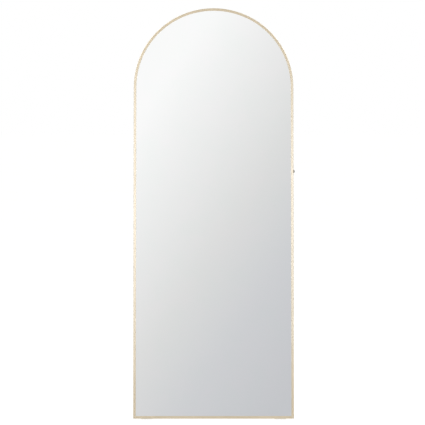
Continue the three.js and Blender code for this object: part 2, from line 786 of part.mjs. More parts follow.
function buildRubbers({ label, sign }) {
  const wedge = [
    [PAD_FRONT, -FIT],
    [PAD_FRONT, floorAt(PAD_FRONT)],
    [PAD_BACK, floorAt(PAD_BACK)],
    [PAD_BACK, -FIT],
  ];
  const middle = sign * padMiddle;
  const pad = sideProfile(wedge, middle - PAD_LENGTH / 2, middle + PAD_LENGTH / 2);

  const angle = THREE.MathUtils.degToRad(BUMPER_ANGLE_DEG);
  const radius = halfWidth - FLANGE_WIDTH / 2;
  const crown = BUMPER_RADIUS * 0.7;
  const dome = [
    [0, 0],
    [BUMPER_RADIUS, 0],
    [BUMPER_RADIUS, BUMPER_HEIGHT - BUMPER_RADIUS / 3],
    [crown, BUMPER_HEIGHT],
    [0, BUMPER_HEIGHT],
  ];
  const bumper = new THREE.LatheGeometry(dome.map(([r, y]) => new THREE.Vector2(r, y)), SMALL_SIDES);
  bumper.translate(sign * radius * Math.cos(angle), rearSeat, springing + radius * Math.sin(angle));
  return [
    piece(`floor_pad_${label}`, pad, clearRubber),
    piece(`wall_bumper_${label}`, bumper, clearRubber),
  ];
}

// ---------------------------------------------------------------------------------------------------------------
// The whole mirror
// ---------------------------------------------------------------------------------------------------------------

const panel = new THREE.Group();
panel.name = "panel";
panel.rotation.x = -lean;
panel.position.z = panelLift;
panel.add(
  ...buildFrame(),
  ...buildSheets(),
  ...buildBrace(),
  ...SIDES.flatMap(buildHanger),
  ...SIDES.flatMap(buildHinge),
  ...SIDES.flatMap(buildRubbers),
  buildStand(),
);

const floorMirror = new THREE.Group();
floorMirror.add(panel);

// The origin lies on the floor, in the mirror's middle plane and halfway between its front and the stand's foot.
const bounds = new THREE.Box3().setFromObject(floorMirror, true);
panel.position.y = -(bounds.min.y + bounds.max.y) / 2;

export default floorMirror;
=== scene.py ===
"""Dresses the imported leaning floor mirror: a thin channel frame with a half-round top, its glass and stand.

Every piece is drawn in millimetres, in the axes of the sub-assembly that it belongs to, and stands in the
frame in metres. The panel's axes are X to the right, Y from the mirror's face to its back and Z up along the
glass.
"""

import logging
import math
from dataclasses import dataclass, field
from enum import Enum
from typing import Callable, Mapping, Sequence

import bmesh
import bpy
from mathutils import Matrix, Vector


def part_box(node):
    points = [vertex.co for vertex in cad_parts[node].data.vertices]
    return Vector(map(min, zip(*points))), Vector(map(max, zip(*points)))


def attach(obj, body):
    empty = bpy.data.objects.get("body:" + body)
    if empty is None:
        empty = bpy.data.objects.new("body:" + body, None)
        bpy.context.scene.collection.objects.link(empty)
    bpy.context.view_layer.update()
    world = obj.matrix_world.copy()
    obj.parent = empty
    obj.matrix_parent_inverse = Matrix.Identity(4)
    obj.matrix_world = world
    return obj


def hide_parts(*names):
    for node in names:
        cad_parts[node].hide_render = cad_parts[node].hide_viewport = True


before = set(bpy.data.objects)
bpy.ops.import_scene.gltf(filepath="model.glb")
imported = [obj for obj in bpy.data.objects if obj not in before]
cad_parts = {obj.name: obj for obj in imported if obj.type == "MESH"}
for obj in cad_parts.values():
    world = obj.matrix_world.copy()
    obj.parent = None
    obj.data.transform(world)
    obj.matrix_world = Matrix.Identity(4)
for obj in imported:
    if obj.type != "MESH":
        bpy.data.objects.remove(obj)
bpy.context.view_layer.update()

log = logging.getLogger("floor_mirror")

MM = 0.001
GRAIN = "grain"  # the attribute that holds a bent piece's straightened coordinates, in metres
MERGE = 1e-4  # points that lie nearer than this, in millimetres, are one
CUT_PAST = 1  # how far a cutting skin runs past what it cuts, in millimetres
NEARLY_STRAIGHT = 89.5  # half of a corner's angle, in degrees, from which it isn't rounded
HEXAGON = 6

Point2 = tuple[float, float]
Fold = Callable[[float, float, float], Vector]


# -----------------------------------------------------------------------------------------------------
# Named options
# -----------------------------------------------------------------------------------------------------


class Side(Enum):
    """A side of the mirror, as seen from the front."""

    LEFT = -1
    RIGHT = 1

    @property
    def label(self) -> str:
        """The word that node names use for this side."""
        return self.name.lower()


class Body(Enum):
    """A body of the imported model."""

    MIRROR = "mirror"
    STAND = "stand"
    RING_LEFT = "ring_left"
    RING_RIGHT = "ring_right"


class Facing(Enum):
    """Which way a turned piece's top looks: the axis that it is turned about, and by how many degrees."""

    BACK = ("X", -90)
    LEFT = ("Y", -90)
    RIGHT = ("Y", 90)

    @property
    def matrix(self) -> Matrix:
        """The turn as a matrix."""
        axis, degrees = self.value
        return Matrix.Rotation(math.radians(degrees), 4, axis)


class Carve(Enum):
    """What carving one skin with another leaves."""

    CUT = "DIFFERENCE"
    MEET = "INTERSECT"


class Pattern(Enum):
    """Where a finish reads its coordinates."""

    PLACE = "place"  # the piece's own axes
    RUN = "run"  # straightened along a bent piece


# -----------------------------------------------------------------------------------------------------
# Layout: the sizes that the sub-assemblies share
# -----------------------------------------------------------------------------------------------------


def turned_x(degrees: float) -> Matrix:
    """A turn about the X axis."""
    return Matrix.Rotation(math.radians(degrees), 4, "X")


def moved(x: float, y: float, z: float) -> Matrix:
    """A move by millimetres."""
    return Matrix.Translation(Vector((x, y, z)) * MM)


@dataclass(frozen=True)
class MirrorLayout:
    """Sizes that more than one sub-assembly needs, in millimetres and degrees."""

    width: float = 700
    height: float = 1800
    lean: float = 7
    leg_lean: float = 5
    floor_clearance: float = 1.2
    wall: float = 1.6
    face_width: float = 11
    flange_width: float = 9
    depth: float = 30
    pocket_front: float = 12.2
    pocket_back: float = 28.4
    pivot_height: float = 1082
    pivot_depth: float = 21.5
    brace_to_springing: float = 70
    hardware_inset: float = 5
    sole_depth: float = 9.6
    leg_centre: float = 329.7

    @property
    def half_width(self) -> float:
        """From the middle plane to the frame's outer face."""
        return self.width / 2

    @property
    def springing(self) -> float:
        """The height at which the half-round top begins."""
        return self.height - self.half_width

    @property
    def open_angle(self) -> float:
        """Between the glass and the open stand."""
        return self.lean + self.leg_lean

    @property
    def lift(self) -> float:
        """From the floor to the panel's own zero height."""
        return self.depth * math.sin(math.radians(self.lean)) + self.floor_clearance

    @property
    def leg_length(self) -> float:
        """Works out the leg that reaches the floor.

        Returns:
            From the pivot to the axis of the bar that lies on the floor.
        """
        lean = math.radians(self.lean)
        above_floor = self.pivot_height * math.cos(lean) - self.pivot_depth * math.sin(lean) + self.lift
        return (above_floor - self.sole_depth) / math.cos(math.radians(self.leg_lean))

    @property
    def brace_centre(self) -> float:
        """The height of the cross brace's middle."""
        return self.springing - self.brace_to_springing

    @property
    def panel(self) -> Matrix:
        """The panel's axes in the frame. The rail's front corner is the model's foremost point."""
        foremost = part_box("bottom_rail")[0].y
        return Matrix.Translation((0, foremost, self.lift * MM)) @ turned_x(-self.lean)

    @property
    def stand(self) -> Matrix:
        """The stand's axes: the pivot at zero, the legs along -Z."""
        return self.panel @ moved(0, self.pivot_depth, self.pivot_height) @ turned_x(self.open_angle)

    @property
    def floor_bar(self) -> Matrix:
        """Axes of the bar that lies on the floor, with Z upright."""
        return self.stand @ moved(0, 0, -self.leg_length) @ turned_x(-self.leg_lean)


LAYOUT = MirrorLayout()


# -----------------------------------------------------------------------------------------------------
# Outlines
# -----------------------------------------------------------------------------------------------------


@dataclass(frozen=True)
class Corner:
    """A corner of an outline and the radius that rounds it."""

    x: float
    y: float
    radius: float = 0.0


def rounded(corners: Sequence[Corner], steps: int = 4) -> list[Point2]:
    """Draws an outline with its corners rounded.

    Args:
        corners: The corners in order.
        steps: Straight pieces in each rounding.

    Returns:
        The outline's points.
    """
    points: list[Point2] = []
    for index, corner in enumerate(corners):
        here = Vector((corner.x, corner.y))
        before = corners[index - 1]
        after = corners[(index + 1) % len(corners)]
        back = (Vector((before.x, before.y)) - here).normalized()
        ahead = (Vector((after.x, after.y)) - here).normalized()
        half = back.angle(ahead) / 2
        if corner.radius <= 0 or half > math.radians(NEARLY_STRAIGHT):
            points.append((here.x, here.y))
            continue
        centre = here + (back + ahead).normalized() * (corner.radius / math.sin(half))
        start = here + back * (corner.radius / math.tan(half)) - centre
        end = here + ahead * (corner.radius / math.tan(half)) - centre
        turn = math.atan2(start.x * end.y - start.y * end.x, start.dot(end))
        for step in range(steps + 1):
            swung = Matrix.Rotation(turn * step / steps, 2) @ start
            points.append((centre.x + swung.x, centre.y + swung.y))
    return points


def drawn_in(outline: Sequence[Point2], by: float) -> list[Point2]:
    """Moves each point of a counter-clockwise outline inwards.

    Args:
        outline: The outline's points.
        by: How far.

    Returns:
        The smaller outline, with as many points.
    """
    points = [Vector(point) for point in outline]
    result: list[Point2] = []
    for index, here in enumerate(points):
        along = (points[(index + 1) % len(points)] - points[index - 1]).normalized()
        result.append((here.x - along.y * by, here.y + along.x * by))
    return result


def circle(radius: float, sides: int, middle: Point2 = (0, 0)) -> list[Point2]:
    """The points of a circle.

    Args:
        radius: Its radius.
        sides: How many points.
        middle: Its centre.

    Returns:
        The points, counter-clockwise.
    """
    angles = [2 * math.pi * side / sides for side in range(sides)]
    return [(middle[0] + radius * math.cos(angle), middle[1] + radius * math.sin(angle)) for angle in angles]


def arc(radius: float, middle: Point2, start: float, end: float, steps: int) -> list[Point2]:
    """The points of an arc, both ends among them.

    Args:
        radius: Its radius.
        middle: Its centre.
        start: Where it starts, in degrees.
        end: Where it ends, in degrees.
        steps: Straight pieces in it.

    Returns:
        The points in order.
    """
    turns = [math.radians(start + (end - start) * step / steps) for step in range(steps + 1)]
    return [(middle[0] + radius * math.cos(turn), middle[1] + radius * math.sin(turn)) for turn in turns]


def quarter_turn(steps: int) -> list[float]:
    """Angles from zero to a quarter turn, in radians."""
    return [math.radians(90 * step / steps) for step in range(steps + 1)]


@dataclass(frozen=True)
class PathPoint:
    """A point of a path in the plane Y = 0, and the direction square to the path in that plane."""

    place: Vector
    across: Vector


def u_path(half: float, top: float, bottom: float, bend: float, steps: int) -> list[PathPoint]:
    """A path that runs down, across and up again, with two round bends.

    Args:
        half: Half the distance between its legs.
        top: The height of its ends.
        bottom: The height of its lowest stretch.
        bend: The radius of its bends.
        steps: Straight pieces in each bend.

    Returns:
        The path's points, from the left end to the right end.
    """
    path = [PathPoint(Vector((-half, 0, top)), Vector((1, 0, 0)))]
    for side in (-1, 1):
        for step in range(steps + 1):
            angle = math.radians(90 * (step / steps + (side > 0)))
            x = side * (half - bend) - bend * math.cos(angle)
            z = bottom + bend - bend * math.sin(angle)
            path.append(PathPoint(Vector((x, 0, z)), Vector((math.cos(angle), 0, math.sin(angle)))))
    path.append(PathPoint(Vector((half, 0, top)), Vector((-1, 0, 0))))
    return path


def rings_along(path: Sequence[PathPoint], radius: float, sides: int) -> list[list[Vector]]:
    """Circles set square to a path.

    Args:
        path: The path.
        radius: The circles' radius.
        sides: Points in each circle.

    Returns:
        One circle for each point of the path.
    """
    deep = Vector((0, 1, 0))
    section = circle(radius, sides)
    return [[point.place + point.across * x + deep * y for x, y in section] for point in path]


# -----------------------------------------------------------------------------------------------------
# Skins
# -----------------------------------------------------------------------------------------------------


class Skin:
    """A closed skin of faces under construction, in millimetres."""

    def __init__(self) -> None:
        """Starts with no faces."""
        self.mesh = bmesh.new()

    def closed(self) -> "Skin":
        """Merges points that meet and turns the faces outwards.

        Returns:
            This skin.
        """
        bmesh.ops.remove_doubles(self.mesh, verts=self.mesh.verts, dist=MERGE)
        bmesh.ops.recalc_face_normals(self.mesh, faces=self.mesh.faces)
        return self

    @classmethod
    def loft(cls, rings: Sequence[Sequence[Vector]], loop: bool = False) -> "Skin":
        """Skins a row of rings.

        Args:
            rings: Cross-sections in order, each with the same number of points.
            loop: Whether the last ring joins the first. Otherwise both ends are capped.

        Returns:
            The new skin.
        """
        skin = cls()
        rows = [[skin.mesh.verts.new(point) for point in ring] for ring in rings]
        pairs = list(zip(rows, rows[1:]))
        if loop:
            pairs.append((rows[-1], rows[0]))
        else:
            skin.mesh.faces.new(rows[0])
            skin.mesh.faces.new(rows[-1])
        for low, high in pairs:
            for index in range(len(low)):
                after = (index + 1) % len(low)
                skin.mesh.faces.new((low[index], low[after], high[after], high[index]))
        return skin.closed()

    @classmethod
    def turned(cls, outline: Sequence[Point2], steps: int, bored: bool = False) -> "Skin":
        """Turns an outline about the Z axis, as on a lathe.

        Args:
            outline: Points of (radius, height).
            steps: Faces round the axis.
            bored: Whether the outline is a closed one that keeps clear of the axis.

        Returns:
            The new skin.
        """
        skin = cls()
        columns = []
        for step in range(steps):
            x, y = math.cos(2 * math.pi * step / steps), math.sin(2 * math.pi * step / steps)
            column = [(radius * x, radius * y, height) for radius, height in outline]
            columns.append([skin.mesh.verts.new(point) for point in column])
        last = len(outline) if bored else len(outline) - 1
        for column, following in zip(columns, columns[1:] + columns[:1]):
            for index in range(last):
                after = (index + 1) % len(outline)
                skin.mesh.faces.new((column[index], column[after], following[after], following[index]))
        return skin.closed()

    @classmethod
    def prism(cls, outline: Sequence[Point2], low: float, high: float, taper: float = 1.0) -> "Skin":
        """Raises an outline in the XY plane.

        Args:
            outline: The outline's points.
            low: The height of its lower face.
            high: The height of its upper face.
            taper: The lower face's size as a share of the upper one's.

        Returns:
            The new skin.
        """
        lower = [Vector((x * taper, y * taper, low)) for x, y in outline]
        upper = [Vector((x, y, high)) for x, y in outline]
        return cls.loft([lower, upper])

    @classmethod
    def folded(cls, outline: Sequence[Point2], holes: Sequence[Sequence[Point2]], bends: Sequence[float],
               fold: Fold, thickness: float) -> "Skin":
        """Folds a flat blank of sheet metal.

        Args:
            outline: The blank's outline, as (across, along) points.
            holes: The outlines of its holes.
            bends: The places across the blank at which it may bend.
            fold: Gives the folded place of (across, along, depth below the outer face).
            thickness: The sheet's thickness.

        Returns:
            The new skin.
        """
        blank = bmesh.new()
        for loop in [outline, *holes]:
            points = [blank.verts.new((x, y, 0)) for x, y in loop]
            for here, after in zip(points, points[1:] + points[:1]):
                blank.edges.new((here, after))
        bmesh.ops.triangle_fill(blank, use_beauty=True, edges=blank.edges[:])
        for place in bends:
            everything = blank.verts[:] + blank.edges[:] + blank.faces[:]
            bmesh.ops.bisect_plane(blank, geom=everything, dist=MERGE, plane_co=(place, 0, 0),
                                   plane_no=(1, 0, 0))
        skin = cls()
        layers = []
        for depth in (0, thickness):
            places = {vert: fold(vert.co.x, vert.co.y, depth) for vert in blank.verts}
            layers.append({vert: skin.mesh.verts.new(place) for vert, place in places.items()})
        for face in blank.faces:
            for layer in layers:
                skin.mesh.faces.new([layer[vert] for vert in face.verts])
        for edge in blank.edges:
            if edge.is_boundary:
                first, second = edge.verts
                outer, inner = layers
                skin.mesh.faces.new((outer[first], outer[second], inner[second], inner[first]))
        blank.free()
        return skin.closed()

    def transformed(self, matrix: Matrix) -> "Skin":
        """Moves this skin by a matrix in millimetres."""
        bmesh.ops.transform(self.mesh, matrix=matrix, verts=self.mesh.verts)
        return self

    def bevelled(self, width: float, segments: int = 2, sharper_than: float = 40) -> "Skin":
        """Rounds every edge that is sharper than an angle.

        Args:
            width: The rounding's width.
            segments: Faces across it.
            sharper_than: The least angle between two faces, in degrees.

        Returns:
            This skin.
        """
        least = math.radians(sharper_than)
        edges = [edge for edge in self.mesh.edges if edge.is_manifold and edge.calc_face_angle() > least]
        bmesh.ops.bevel(self.mesh, geom=edges, offset=width, segments=segments, profile=0.5, affect="EDGES",
                        clamp_overlap=True)
        return self

    def carved(self, tool: "Skin", how: Carve = Carve.CUT) -> "Skin":
        """Carves this skin with another one.

        Args:
            tool: The other skin.
            how: What is left.

        Returns:
            This skin.
        """
        blanks = []
        for skin in (self, tool):
            data = bpy.data.meshes.new("blank")
            skin.mesh.to_mesh(data)
            blank = bpy.data.objects.new("blank", data)
            bpy.context.scene.collection.objects.link(blank)
            blanks.append(blank)
        modifier = blanks[0].modifiers.new("carve", "BOOLEAN")
        modifier.operation = how.value
        modifier.solver = "EXACT"
        modifier.object = blanks[1]
        depsgraph = bpy.context.evaluated_depsgraph_get()
        result = bpy.data.meshes.new_from_object(blanks[0].evaluated_get(depsgraph))
        self.mesh.clear()
        self.mesh.from_mesh(result)
        bpy.data.meshes.remove(result)
        for blank in blanks:
            bpy.data.meshes.remove(blank.data)
        return self

    def data(self, name: str, grain: Callable[[Vector], Vector] | None = None,
             smooth: float = 32) -> bpy.types.Mesh:
        """Turns the skin into a mesh in metres.

        Args:
            name: The mesh's name.
            grain: Gives a point's straightened place, for a bent piece.
            smooth: Edges sharper than this many degrees stay crisp.

        Returns:
            The mesh.
        """
        self.mesh.verts.ensure_lookup_table()
        runs = [grain(vert.co) * MM for vert in self.mesh.verts] if grain else []
        bmesh.ops.transform(self.mesh, matrix=Matrix.Scale(MM, 4), verts=self.mesh.verts)
        data = bpy.data.meshes.new(name)
        self.mesh.to_mesh(data)
        self.mesh.free()
        if runs:
            layer = data.attributes.new(GRAIN, "FLOAT_VECTOR", "POINT")
            layer.data.foreach_set("vector", [value for run in runs for value in run])
        data.shade_smooth()
        data.set_sharp_from_angle(angle=math.radians(smooth))
        return data


# -----------------------------------------------------------------------------------------------------
# Finishes
# -----------------------------------------------------------------------------------------------------

Tree = bpy.types.NodeTree
Socket = bpy.types.NodeSocket
Stop = tuple[float, str]


def linear(colour: str) -> tuple[float, float, float, float]:
    """Turns an sRGB hex colour into linear light.

    Args:
        colour: The colour, such as #CFBB96.

    Returns:
        Red, green, blue and an alpha of one.
    """
    shares = [int(colour[start:start + 2], 16) / 255 for start in (1, 3, 5)]
    red, green, blue = [
        share / 12.92 if share <= 0.04045 else ((share + 0.055) / 1.055) ** 2.4 for share in shares
    ]
    return red, green, blue, 1.0


def add_node(tree: Tree, kind: str, settings: Mapping[str, object] | None = None,
             inputs: Mapping[str | int, object] | None = None, stops: Sequence[Stop] = ()) -> bpy.types.Node:
    """Adds a node with its settings, values, links and colour stops.

    Args:
        tree: The tree that it goes in.
        kind: The node's type.
        settings: The node's own properties.
        inputs: A value, or the socket that feeds it, for each named or numbered input.
        stops: The stops of a colour ramp, as (place, hex colour), in order.

    Returns:
        The node.
    """
    node = tree.nodes.new(kind)
    for name, value in (settings or {}).items():
        setattr(node, name, value)
    for name, value in (inputs or {}).items():
        if isinstance(value, Socket):
            tree.links.new(value, node.inputs[name])
        else:
            node.inputs[name].default_value = value
    for index, (place, colour) in enumerate(stops):
        elements = node.color_ramp.elements
        element = elements[index] if index < 2 else elements.new(place)
        element.position = place
        element.color = linear(colour)
    return node


class Texture(Enum):
    """A procedural texture: its node, and the output that is read."""

    CLOUDS = ("ShaderNodeTexNoise", "Fac")
    CELLS = ("ShaderNodeTexVoronoi", "Distance")


@dataclass(frozen=True)
class Layer:
    """A texture of a real size, and its share in a surface's tone, gloss and relief."""

    size: tuple[float, float, float]  # along each axis, in millimetres
    detail: float = 3
    contrast: float = 0.5
    tone: float = 0
    gloss: float = 0
    relief: float = 0  # from lowest to highest, in millimetres
    turn: float = 0  # about the Y axis, in degrees
    texture: Texture = Texture.CLOUDS

    def value(self, tree: Tree, place: Socket) -> Socket:
        """Builds the texture.

        Args:
            tree: The material's tree.
            place: The coordinates of the surface, in metres.

        Returns:
            Its value, which lies about one half.
        """
        kind, output = self.texture.value
        size = tuple(length * MM for length in self.size)
        turn = (0, math.radians(self.turn), 0)
        laid = add_node(tree, "ShaderNodeMapping", {"vector_type": "TEXTURE"},
                        {"Vector": place, "Rotation": turn, "Scale": size})
        inputs = {"Vector": laid.outputs[0], "Scale": 1.0, "Detail": self.detail, "Roughness": self.contrast}
        return add_node(tree, kind, inputs=inputs).outputs[output]


@dataclass(frozen=True)
class Finish:
    """What every finish shares: its name, a slot name, its tones and the layers of its pattern."""

    title: str = "finish"
    slot_name: str = ""
    tones: tuple[Stop, ...] = ()
    layers: tuple[Layer, ...] = ()
    roughness: float = 0.5
    even: tuple[tuple[str, object], ...] = ()  # the sockets that are the same all over the surface

    def blend(self, tree: Tree, values: Sequence[Socket], shares: Sequence[float],
              middle: float) -> Socket | float:
        """Adds shares of the textures to a middle value.

        Args:
            tree: The material's tree.
            values: The textures, which lie about one half.
            shares: The share of each.
            middle: The result where every texture is one half.

        Returns:
            The sum, or the middle value itself if nothing is added to it.
        """
        total: Socket | float = middle - sum(shares) / 2
        for value, share in zip(values, shares):
            if share:
                terms = {0: value, 1: share, 2: total}
                total = add_node(tree, "ShaderNodeMath", {"operation": "MULTIPLY_ADD"}, terms).outputs[0]
        return total

    def surface(self, tree: Tree, place: Socket) -> dict[str, object]:
        """Builds the pattern.

        Args:
            tree: The material's tree.
            place: The coordinates of the surface, in metres.

        Returns:
            The values and sockets that the principled surface takes.
        """
        values = [layer.value(tree, place) for layer in self.layers]
        tone = self.blend(tree, values, [layer.tone for layer in self.layers], 0.5)
        colour = add_node(tree, "ShaderNodeValToRGB", inputs={"Fac": tone}, stops=self.tones)
        gloss = self.blend(tree, values, [layer.gloss for layer in self.layers], self.roughness)
        inputs: dict[str, object] = dict(self.even)
        inputs |= {"Base Color": colour.outputs["Color"], "Roughness": gloss}
        for value, layer in zip(values, self.layers):
            if layer.relief:
                below = {"Normal": inputs["Normal"]} if "Normal" in inputs else {}
                raised = {"Height": value, "Distance": layer.relief * MM, **below}
                inputs["Normal"] = add_node(tree, "ShaderNodeBump", inputs=raised).outputs["Normal"]
        return inputs

    def material(self, pattern: Pattern = Pattern.PLACE) -> bpy.types.Material:
        """Makes the material, or finds the one made before.

        Args:
            pattern: Where the pattern reads its coordinates.

        Returns:
            The material.
        """
        name = f"{self.title}, {pattern.value}"
        if name in bpy.data.materials:
            return bpy.data.materials[name]
        material = bpy.data.materials.new(name)
        material.use_nodes = True
        tree = material.node_tree
        tree.nodes.clear()
        if pattern is Pattern.RUN:
            place = add_node(tree, "ShaderNodeAttribute", {"attribute_name": GRAIN}).outputs["Vector"]
        else:
            place = add_node(tree, "ShaderNodeTexCoord").outputs["Object"]
        shader = add_node(tree, "ShaderNodeBsdfPrincipled", inputs=self.surface(tree, place))
        add_node(tree, "ShaderNodeOutputMaterial", inputs={"Surface": shader.outputs["BSDF"]})
        return material


@dataclass(frozen=True)
class ChampagneAnodised(Finish):
    """Anodised aluminium, brushed lengthways before the dye: a satin pale gold with a fine long grain."""

    title: str = "satin champagne anodised aluminium"
    slot_name: str = "anodised_frame"
    tones: tuple[Stop, ...] = ((0.3, "#C2B190"), (0.7, "#D0BF9F"))
    layers: tuple[Layer, ...] = (
        # real strokes are about 0.05 mm wide, drawn coarser to show
        Layer((90, 0.45, 0.45), detail=2, tone=0.3, gloss=0.12, relief=0.0015),
        Layer((160, 40, 40), detail=2, tone=0.5),
    )
    roughness: float = 0.3
    # the clear oxide over the dye, which gives the sheen its pale edge
    even: tuple[tuple[str, object], ...] = (
        ("Metallic", 1.0),
        ("Coat Weight", 1.0),
        ("Coat IOR", 1.77),
        ("Coat Roughness", 0.26),
    )


@dataclass(frozen=True)
class ChampagnePowderCoat(Finish):
    """Metallic powder coat baked on steel tube: softer than the anodised frame, with a fine orange peel."""

    title: str = "champagne powder-coated steel"
    slot_name: str = "stand_paint"
    tones: tuple[Stop, ...] = ((0.3, "#C3AE85"), (0.7, "#D2BF97"))
    layers: tuple[Layer, ...] = (
        Layer((1.6, 1.6, 1.6), detail=1, relief=0.03),
        Layer((0.7, 0.7, 0.7), detail=2, contrast=0.7, tone=0.5, gloss=0.25),
        Layer((90, 90, 90), detail=2, tone=0.7),
    )
    roughness: float = 0.43
    even: tuple[tuple[str, object], ...] = (
        ("Metallic", 0.65),
        ("Coat Weight", 0.15),
        ("Coat Roughness", 0.25),
    )


@dataclass(frozen=True)
class SilveredGlass(Finish):
    """Float glass, silvered behind: a clear reflection with a trace of green and a faint roll."""

    title: str = "silvered float glass"
    slot_name: str = "silvered_glass"
    tones: tuple[Stop, ...] = ((0.35, "#FAFAFA"), (0.7, "#F8FAF9"))
    layers: tuple[Layer, ...] = (
        Layer((420, 420, 260), detail=1, relief=0.012),
        Layer((110, 110, 110), detail=4, contrast=0.6, tone=1, gloss=0.02),
    )
    roughness: float = 0.008
    even: tuple[tuple[str, object], ...] = (("Metallic", 1.0),)


@dataclass(frozen=True)
class Hardboard(Finish):
    """Tempered hardboard, pressed from wood fibre: a warm dull brown with short fibres and a mottle."""

    title: str = "tempered hardboard"
    slot_name: str = "hardboard"
    tones: tuple[Stop, ...] = ((0.3, "#5E4834"), (0.5, "#6E5540"), (0.7, "#806850"))
    layers: tuple[Layer, ...] = (
        # real fibres are about 0.3 by 3 mm, drawn coarser to show
        Layer((1.0, 1.0, 3.2), detail=2, contrast=0.6, tone=0.4, gloss=0.15, relief=0.05, turn=24),
        Layer((1.0, 1.0, 3.2), detail=2, contrast=0.6, tone=0.4, gloss=0.15, relief=0.05, turn=-41),
        Layer((3.2, 1.0, 1.0), detail=2, contrast=0.6, tone=0.4, gloss=0.15, relief=0.05, turn=8),
        Layer((6, 6, 6), detail=4, contrast=0.7, tone=0.6, gloss=0.3, relief=0.06),
        Layer((140, 140, 140), tone=0.4),
    )
    roughness: float = 0.68
    even: tuple[tuple[str, object], ...] = (("Specular IOR Level", 0.35),)


@dataclass(frozen=True)
class ZincPlate(Finish):
    """Steel plated with bright zinc and passivated: silvery, a little cloudy, with cool and warm patches."""

    title: str = "zinc-plated steel"
    slot_name: str = "zinc_plated_steel"
    tones: tuple[Stop, ...] = ((0.35, "#B3B8BC"), (0.65, "#C2C0B8"))
    layers: tuple[Layer, ...] = (
        Layer((7, 7, 7), detail=4, contrast=0.6, tone=1, gloss=0.3),
        Layer((0.8, 0.8, 0.8), detail=2, relief=0.006),
    )
    roughness: float = 0.32
    even: tuple[tuple[str, object], ...] = (("Metallic", 1.0),)


@dataclass(frozen=True)
class CastZinc(Finish):
    """Die-cast zinc alloy, tumbled: a dull grey with a fine pebbled skin."""

    title: str = "tumbled die-cast zinc"
    slot_name: str = "cast_zinc"
    tones: tuple[Stop, ...] = ((0.35, "#8F9192"), (0.65, "#A5A6A6"))
    layers: tuple[Layer, ...] = (
        Layer((1.2, 1.2, 1.2), gloss=0.3, relief=0.03),
        Layer((14, 14, 14), detail=4, contrast=0.6, tone=1),
    )
    roughness: float = 0.5
    even: tuple[tuple[str, object], ...] = (("Metallic", 0.9),)


@dataclass(frozen=True)
class MillAluminium(Finish):
    """Aluminium tube as it leaves the die: bare, bright grey, with long die lines and a few dull patches."""

    title: str = "mill-finish aluminium"
    slot_name: str = "mill_aluminium"
    tones: tuple[Stop, ...] = ((0.3, "#AEB0B2"), (0.7, "#C8CACB"))
    layers: tuple[Layer, ...] = (
        # real die lines are 0.1 mm apart, drawn coarser to show
        Layer((220, 1.4, 1.4), detail=4, contrast=0.7, tone=0.9, gloss=0.3, relief=0.01),
        Layer((60, 25, 25), tone=0.6),
    )
    roughness: float = 0.37
    even: tuple[tuple[str, object], ...] = (("Metallic", 1.0),)


@dataclass(frozen=True)
class BronzedSteel(Finish):
    """Steel bronzed in a hot bath and waxed: a dark brown-grey with a soft, cloudy gloss."""

    title: str = "dark bronzed steel"
    slot_name: str = "dark_steel"
    tones: tuple[Stop, ...] = ((0.3, "#1D1A17"), (0.7, "#2D2925"))
    layers: tuple[Layer, ...] = (Layer((2.4, 2.4, 2.4), tone=1, gloss=0.3, relief=0.01),)
    roughness: float = 0.5
    even: tuple[tuple[str, object], ...] = (("Metallic", 0.3), ("Specular IOR Level", 0.3))


@dataclass(frozen=True)
class BlackRubber(Finish):
    """Moulded black rubber: matt, with a fine tooth and a bloom of dust."""

    title: str = "moulded black rubber"
    slot_name: str = "black_rubber"
    tones: tuple[Stop, ...] = ((0.35, "#1B1B1A"), (0.7, "#2B2B29"))
    layers: tuple[Layer, ...] = (
        Layer((0.9, 0.9, 0.9), relief=0.03),
        Layer((12, 12, 12), detail=4, contrast=0.6, tone=1, gloss=0.4),
    )
    roughness: float = 0.7
    even: tuple[tuple[str, object], ...] = (("IOR", 1.52),)


@dataclass(frozen=True)
class ClearRubber(Finish):
    """Clear polyurethane rubber, cast: water-clear, with a soft gloss and a few trapped clouds."""

    title: str = "clear polyurethane rubber"
    slot_name: str = "clear_rubber"
    tones: tuple[Stop, ...] = ((0.35, "#EFEFEB"), (0.65, "#F7F7F4"))
    layers: tuple[Layer, ...] = (Layer((3, 3, 3), tone=1, gloss=0.2, relief=0.01),)
    roughness: float = 0.08
    even: tuple[tuple[str, object], ...] = (("IOR", 1.5), ("Transmission Weight", 1.0))


@dataclass(frozen=True)
class MouldedPlastic(Finish):
    """Black polyethylene, injection moulded in a spark-eroded tool: a fine even grain and a low gloss."""

    title: str = "moulded black polyethylene"
    slot_name: str = "black_plastic"
    tones: tuple[Stop, ...] = ((0.35, "#212120"), (0.65, "#2A2A29"))
    layers: tuple[Layer, ...] = (Layer((0.6, 0.6, 0.6), detail=2, tone=1, gloss=0.35, relief=0.02),)
    roughness: float = 0.52
    even: tuple[tuple[str, object], ...] = (("IOR", 1.51),)


@dataclass(frozen=True)
class Nylon(Finish):
    """Natural nylon, turned from bar: creamy white with fine turning marks and a little depth."""

    title: str = "natural nylon"
    slot_name: str = "nylon"
    tones: tuple[Stop, ...] = ((0.3, "#E2DFD3"), (0.7, "#EDEBE3"))
    layers: tuple[Layer, ...] = (Layer((4, 4, 0.4), detail=2, tone=1, gloss=0.3, relief=0.01),)
    roughness: float = 0.44
    even: tuple[tuple[str, object], ...] = (
        ("IOR", 1.53),
        ("Subsurface Weight", 0.15),
        ("Subsurface Radius", (1.0, 0.9, 0.7)),
        ("Subsurface Scale", 0.002),
    )


@dataclass(frozen=True)
class Foam(Finish):
    """Closed-cell polyethylene foam sheet: off-white and matt, with small round cells."""

    title: str = "closed-cell foam"
    slot_name: str = "foam"
    tones: tuple[Stop, ...] = ((0.1, "#D6D4CC"), (0.6, "#ECEAE5"))
    layers: tuple[Layer, ...] = (
        Layer((1.5, 1.5, 1.5), detail=0, tone=1, gloss=0.2, relief=0.2, texture=Texture.CELLS),
    )
    roughness: float = 0.9


